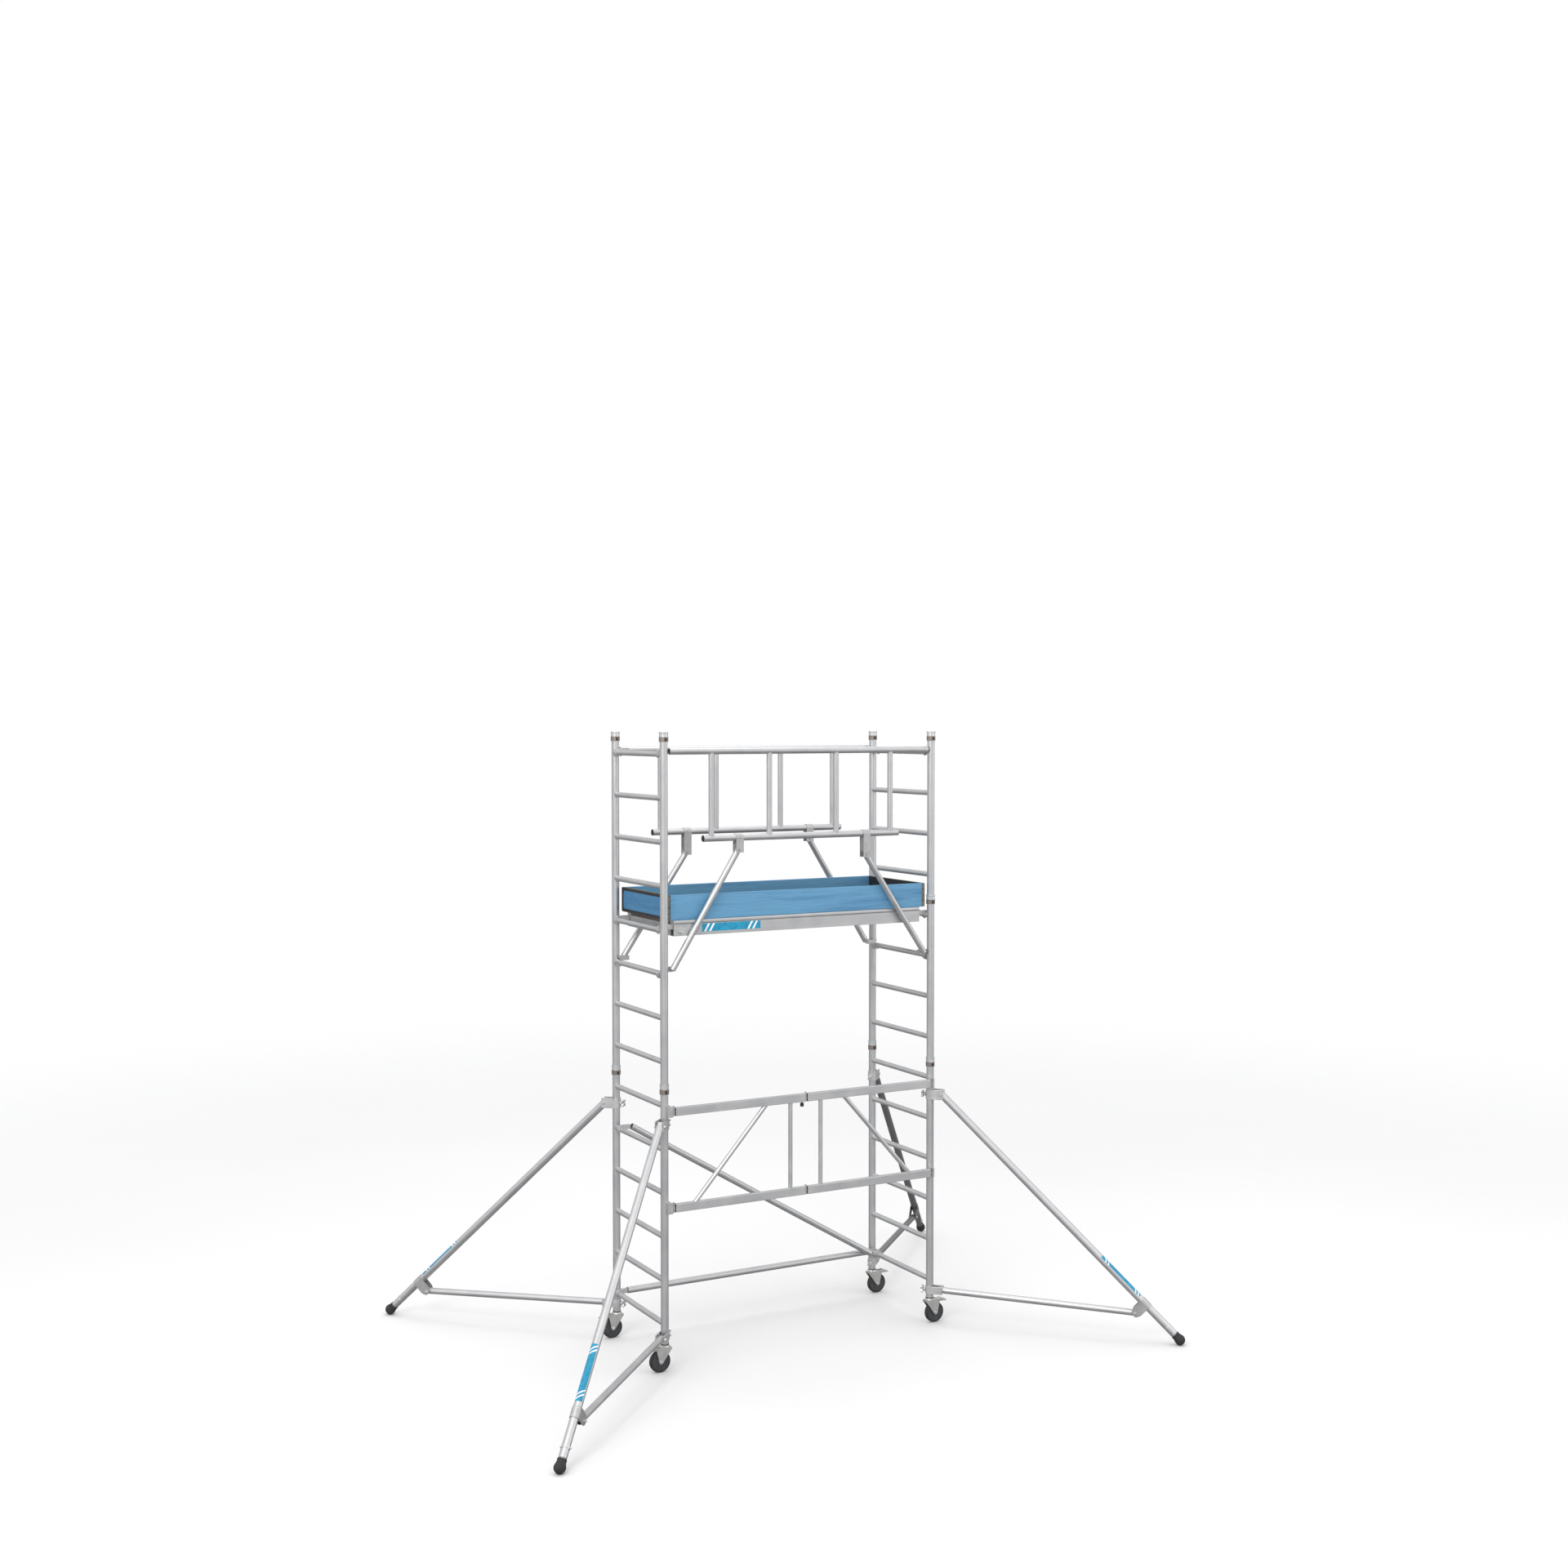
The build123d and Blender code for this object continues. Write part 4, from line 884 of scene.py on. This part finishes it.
def bracket_rivets(bm):
    """Rivets that hold each leg's sheet bracket on the middle rail."""
    for side_x, side_y in CORNERS.values():
        for shift in (-14, 14):
            x = side_x * leg_pivot_x + shift * MM
            for face in (-1, 1):
                rivet(bm, (x, -side_y * guard_y + face * 23 * MM, mid_rail), (0, face, 0))


piece("leg_bracket_rivets", TOWER, ZINC, bracket_rivets)

# ---- Gate ----
gate_low, gate_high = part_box("gate_left_leaf")
pin_low, pin_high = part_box("gate_hinge_pins")
gate_y = (pin_low.y + pin_high.y) / 2
half_rail = 24 * MM
rail_high = gate_high.z - half_rail
rail_low = gate_low.z + half_rail
upright_x = 102 * MM
diagonal_top_x = 248 * MM
diagonal_bottom_x = half_bay - 159 * MM
upright_seam_r = 12.6 * MM
diagonal_seam_r = 12.9 * MM


def flat_seam(place, run, radius, steps=26):
    """The oval seam where a round tube runs into a level flat face."""
    stretch = 1 / max(abs(run.z), 0.2)
    points = []
    for k in range(steps):
        t = 2 * math.pi * k / steps
        points.append(place + Vector((radius * stretch * math.cos(t), radius * math.sin(t), 0)))
    return points


def gate_beads(side):
    """Weld beads at both ends of one leaf's upright and diagonal."""
    def build(bm):
        top = Vector((side * diagonal_top_x, gate_y, rail_high))
        bottom = Vector((side * diagonal_bottom_x, gate_y, rail_low))
        run = (top - bottom).normalized()
        for level in (rail_high - half_rail, rail_low + half_rail):
            place = Vector((side * upright_x, gate_y, level))
            sweep(bm, flat_seam(place, Vector((0, 0, 1)), upright_seam_r), BEAD, 6)
            place = bottom + run * ((level - bottom.z) / run.z)
            sweep(bm, flat_seam(place, run, diagonal_seam_r), BEAD, 6)
    return build


piece("gate_left_welds", TOWER, WELD, gate_beads(-1))
piece("gate_right_welds", TOWER, WELD, gate_beads(1))

# ---- Toe boards ----
side_low, side_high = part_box("side_toe_boards")
end_low, end_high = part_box("end_toe_boards")
BOARD = 18
# Stands a flat outline up, so that its X runs along Y, its Y up and its thickness along X.
FACE_TO_X = Matrix(((0, 0, 1, 0), (1, 0, 0, 0), (0, 1, 0, 0), (0, 0, 0, 1)))


def side_boards(bm):
    """The front and back boards, with their long edges rounded."""
    length = side_high.x / MM
    height = (side_high.z - side_low.z) / MM
    level = (side_high.z + side_low.z) / 2 / MM
    for side in (-1, 1):
        outline = rectangle(BOARD, height, side * (side_high.y / MM - BOARD / 2), level)
        plate(bm, rounded(outline, 4, 4), -length, length, FACE_TO_X)


piece("side_boards", TOWER, BLUE_PLY, side_boards, replaces=("side_toe_boards",))

END_X = end_high.x / MM
END_Y = end_high.y / MM
BOARD_FOOT = end_low.z / MM
BOARD_TOP = end_high.z / MM
board_middle = (BOARD_FOOT + BOARD_TOP) / 2
board_height = BOARD_TOP - BOARD_FOOT


def ring_plate(bm, outer, inner, low, high, at=Matrix()):
    """A flat frame between two outlines with the same number of points."""
    loops = [
        [bm.verts.new(at @ (Vector((x, y, level)) * MM)) for x, y in outline]
        for outline, level in ((outer, low), (outer, high), (inner, high), (inner, low))
    ]
    count = len(outer)
    for near, far in zip(loops, loops[1:] + loops[:1]):
        for k in range(count):
            m = (k + 1) % count
            bm.faces.new((near[k], near[m], far[m], far[k]))


# An end board's border, corner and panel gap, then depths behind its outer face.
BORDER = 21
BORDER_LOW = 18
OPENING_R = 22
PANEL_GAP = 0.5
SKIN = 3.5
BACK_SKIN = 17
BOARD_DEPTH = 20


def end_board(side):
    """One end toe board: bare ply core between a framed blue face and a black back."""
    name = "left" if side < 0 else "right"
    node = "end_toe_boards"
    width = 2 * END_Y
    clear = (width - 2 * BORDER, board_height - 2 * BORDER_LOW)
    filled = [size - 2 * PANEL_GAP for size in clear]
    border = rounded(rectangle(width, board_height, 0, board_middle), 8, 4)
    opening = rounded(rectangle(*clear, 0, board_middle), OPENING_R, 4)
    panel = rounded(rectangle(*filled, 0, board_middle), OPENING_R - PANEL_GAP, 4)

    def between(deep, shallow):
        """Levels along X of a layer, both given as depths behind the outer face."""
        levels = (END_X - deep, END_X - shallow)
        return levels if side > 0 else (-levels[1], -levels[0])

    def moulding(bm):
        ring_plate(bm, border, opening, *between(SKIN, 0), FACE_TO_X)
        plate(bm, border, *between(BOARD_DEPTH, BACK_SKIN), FACE_TO_X)

    def panel_sheet(bm):
        plate(bm, panel, *between(SKIN + 0.5, 1.6), FACE_TO_X)

    def core(bm):
        outline = rectangle(width - 1, board_height - 1, 0, board_middle)
        plate(bm, outline, *between(BACK_SKIN, SKIN), FACE_TO_X)

    def slots(bm):
        """Dark glue lines across the core's narrow edges."""
        for share in (0.27, 0.5, 0.73):
            for edge in (-1, 1):
                outline = rectangle(2.0, 3.2, edge * (END_Y - 0.8), BOARD_FOOT + board_height * share)
                plate(bm, outline, *between(BACK_SKIN - 0.5, SKIN + 0.5), FACE_TO_X)

    piece(f"{name}_board_moulding", TOWER, BLACK, moulding, bevel=1.0, replaces=(node,))
    piece(f"{name}_board_panel", TOWER, BLUE_PANEL, panel_sheet, bevel=0.6, replaces=(node,))
    piece(f"{name}_board_core", TOWER, BARE_PLY, core, replaces=(node,))
    piece(f"{name}_board_slots", TOWER, BLACK, slots)


end_board(-1)
end_board(1)

# ---- Platform ----
beam_face = half_width / MM - 20
platform_z = rung_height(9) / MM
STICKER = (-650, -270)
HOOK_RIVETS_X = (-820, 796, 820)
HOOK_RIVETS_Z = (-22, 8)


def beam_sticker(bm):
    middle = (STICKER[0] + STICKER[1]) / 2
    outline = rounded(rectangle(STICKER[1] - STICKER[0], 46, middle, platform_z + 3), 3)
    plate(bm, outline, beam_face + 0.02, beam_face + 0.3, UPRIGHT)


def sticker_slashes(bm):
    for start in (STICKER[0] + 34, STICKER[0] + 66, STICKER[1] - 66, STICKER[1] - 34):
        low, high = platform_z - 19, platform_z + 25
        outline = [(start - 21, low), (start - 9, low), (start + 17, high), (start + 5, high)]
        plate(bm, outline, beam_face + 0.3, beam_face + 0.45, UPRIGHT)


def beam_rivets(bm):
    """Rivets of the hooks through the side beams."""
    for side in (-1, 1):
        for x in HOOK_RIVETS_X:
            for level in HOOK_RIVETS_Z:
                place = Vector((x, side * beam_face, platform_z + level)) * MM
                rivet(bm, place, (0, side, 0), 4.5)


piece("beam_sticker", TOWER, CYAN, beam_sticker)
piece("beam_sticker_slashes", TOWER, WHITE, sticker_slashes)
piece("beam_rivets", TOWER, ZINC, beam_rivets)

# ---- Floor, light and camera ----
FADE_START = 5.0
FADE_END = 13.0
FLOOR_REACH = 14.0


def floor_finish():
    """Pale studio floor that fades out into the white background far from the tower."""
    finish = Finish("floor", roughness=0.8)
    tone = finish.noise(0.35, 2.0)
    finish.colour(finish.ramp(tone, [(0.3, 0.80), (0.7, 0.82)]))
    distance = finish.add("ShaderNodeVectorMath", operation="LENGTH")
    finish.link(finish.place, distance.inputs[0])
    fade = finish.add("ShaderNodeMapRange", interpolation_type="SMOOTHSTEP")
    fade.inputs["From Min"].default_value = FADE_START
    fade.inputs["From Max"].default_value = FADE_END
    finish.link(distance.outputs["Value"], fade.inputs["Value"])
    clear = finish.add("ShaderNodeBsdfTransparent")
    blend = finish.add("ShaderNodeMixShader")
    finish.link(fade.outputs["Result"], blend.inputs["Fac"])
    finish.link(finish.shader.outputs["BSDF"], blend.inputs[1])
    finish.link(clear.outputs["BSDF"], blend.inputs[2])
    output = next(n for n in finish.tree.nodes if n.type == "OUTPUT_MATERIAL")
    finish.link(blend.outputs["Shader"], output.inputs["Surface"])
    return finish.material


def build_floor():
    bm = bmesh.new()
    for x, y in rectangle(2 * FLOOR_REACH, 2 * FLOOR_REACH):
        bm.verts.new((x, y, 0))
    bm.faces.new(bm.verts)
    mesh = bpy.data.meshes.new("studio_floor")
    bm.to_mesh(mesh)
    bm.free()
    floor = bpy.data.objects.new("studio_floor", mesh)
    bpy.context.scene.collection.objects.link(floor)
    mesh.materials.append(floor_finish())
    floor.visible_glossy = False


def area_light(name, place, target, size, power):
    """A soft rectangular light at a place, facing a target."""
    light = bpy.data.lights.new(name, "AREA")
    light.shape = "RECTANGLE"
    light.size, light.size_y = size
    light.energy = power
    lamp = bpy.data.objects.new(name, light)
    bpy.context.scene.collection.objects.link(lamp)
    facing = (Vector(place) - Vector(target)).to_track_quat("Z", "Y")
    lamp.matrix_world = Matrix.Translation(place) @ facing.to_matrix().to_4x4()


class Backdrop:
    """The world's node tree, with the few helpers that build_world needs."""

    def __init__(self):
        self.world = bpy.data.worlds.new("studio")
        bpy.context.scene.world = self.world
        self.world.use_nodes = True
        self.tree = self.world.node_tree
        self.tree.nodes.clear()
        self.direction = self.tree.nodes.new("ShaderNodeTexCoord").outputs["Generated"]

    def share(self, axis, low, high):
        """How far the view direction leans along an axis, spread over low to high."""
        lean = self.tree.nodes.new("ShaderNodeVectorMath")
        lean.operation = "DOT_PRODUCT"
        lean.inputs[1].default_value = axis
        spread = self.tree.nodes.new("ShaderNodeMapRange")
        spread.inputs["From Min"].default_value = -1.0
        spread.inputs["To Min"].default_value = low
        spread.inputs["To Max"].default_value = high
        self.tree.links.new(self.direction, lean.inputs[0])
        self.tree.links.new(lean.outputs["Value"], spread.inputs["Value"])
        return spread.outputs["Result"]

    def light(self, stops, front, low, high):
        """A background that follows stops from straight down to straight up, stronger in front."""
        ramp = self.tree.nodes.new("ShaderNodeValToRGB")
        while len(ramp.color_ramp.elements) < len(stops):
            ramp.color_ramp.elements.new(0.5)
        for element, (position, level) in zip(ramp.color_ramp.elements, stops):
            element.position = position
            element.color = (level, level, level * 1.01, 1.0)
        background = self.tree.nodes.new("ShaderNodeBackground")
        self.tree.links.new(self.share((0, 0, 1), 0.0, 1.0), ramp.inputs["Fac"])
        self.tree.links.new(ramp.outputs["Color"], background.inputs["Color"])
        self.tree.links.new(self.share(front, low, high), background.inputs["Strength"])
        return background.outputs[0]

    def choose(self, chosen, first, second):
        """The second background where chosen is 1, and the first elsewhere."""
        blend = self.tree.nodes.new("ShaderNodeMixShader")
        self.tree.links.new(chosen, blend.inputs["Fac"])
        self.tree.links.new(first, blend.inputs[1])
        self.tree.links.new(second, blend.inputs[2])
        return blend.outputs[0]


def build_world():
    """White backdrop; matt surfaces see even light, and metal sees a studio darker low and behind."""
    backdrop = Backdrop()
    front = (-0.48, -0.87, 0.0)
    even = backdrop.light(((0.0, 0.62), (0.5, 0.84), (1.0, 1.16)), front, 0.96, 1.04)
    studio = backdrop.light(((0.0, 0.20), (0.42, 0.38), (0.52, 0.80), (0.75, 1.0), (1.0, 1.08)),
                            front, 0.62, 1.22)
    white = backdrop.light(((0.0, 1.0), (1.0, 1.0)), front, 1.0, 1.0)
    seen = backdrop.tree.nodes.new("ShaderNodeLightPath")
    output = backdrop.tree.nodes.new("ShaderNodeOutputWorld")
    lit = backdrop.choose(seen.outputs["Is Glossy Ray"], even, studio)
    shown = backdrop.choose(seen.outputs["Is Camera Ray"], lit, white)
    backdrop.tree.links.new(shown, output.inputs["Surface"])


build_floor()
build_world()
middle = Vector((0, 0, 1.8))
area_light("key_left", (-6.5, -5.0, 7.0), middle, (3.5, 3.5), 230)
area_light("fill_right", (7.0, -5.5, 3.5), middle, (2.5, 4.5), 60)
area_light("top", (0.5, 1.0, 8.5), middle, (5.0, 5.0), 110)
bpy.context.scene.view_settings.view_transform = "Standard"

# Where the camera stands, in metres, and how it looks, in degrees and millimetres.
CAMERA_PLACE = (-5.3406, -9.8434, 3.6879)
CAMERA_DIP = 1.84
CAMERA_TURN = -28.76
FOCAL_LENGTH = 42.57

lens = bpy.data.cameras.new("camera")
lens.sensor_width = 36
lens.lens = FOCAL_LENGTH
lens.clip_end = 300
camera = bpy.data.objects.new("camera", lens)
bpy.context.scene.collection.objects.link(camera)
camera.location = CAMERA_PLACE
camera.rotation_euler = (math.radians(90 - CAMERA_DIP), 0, math.radians(CAMERA_TURN))
bpy.context.scene.camera = camera
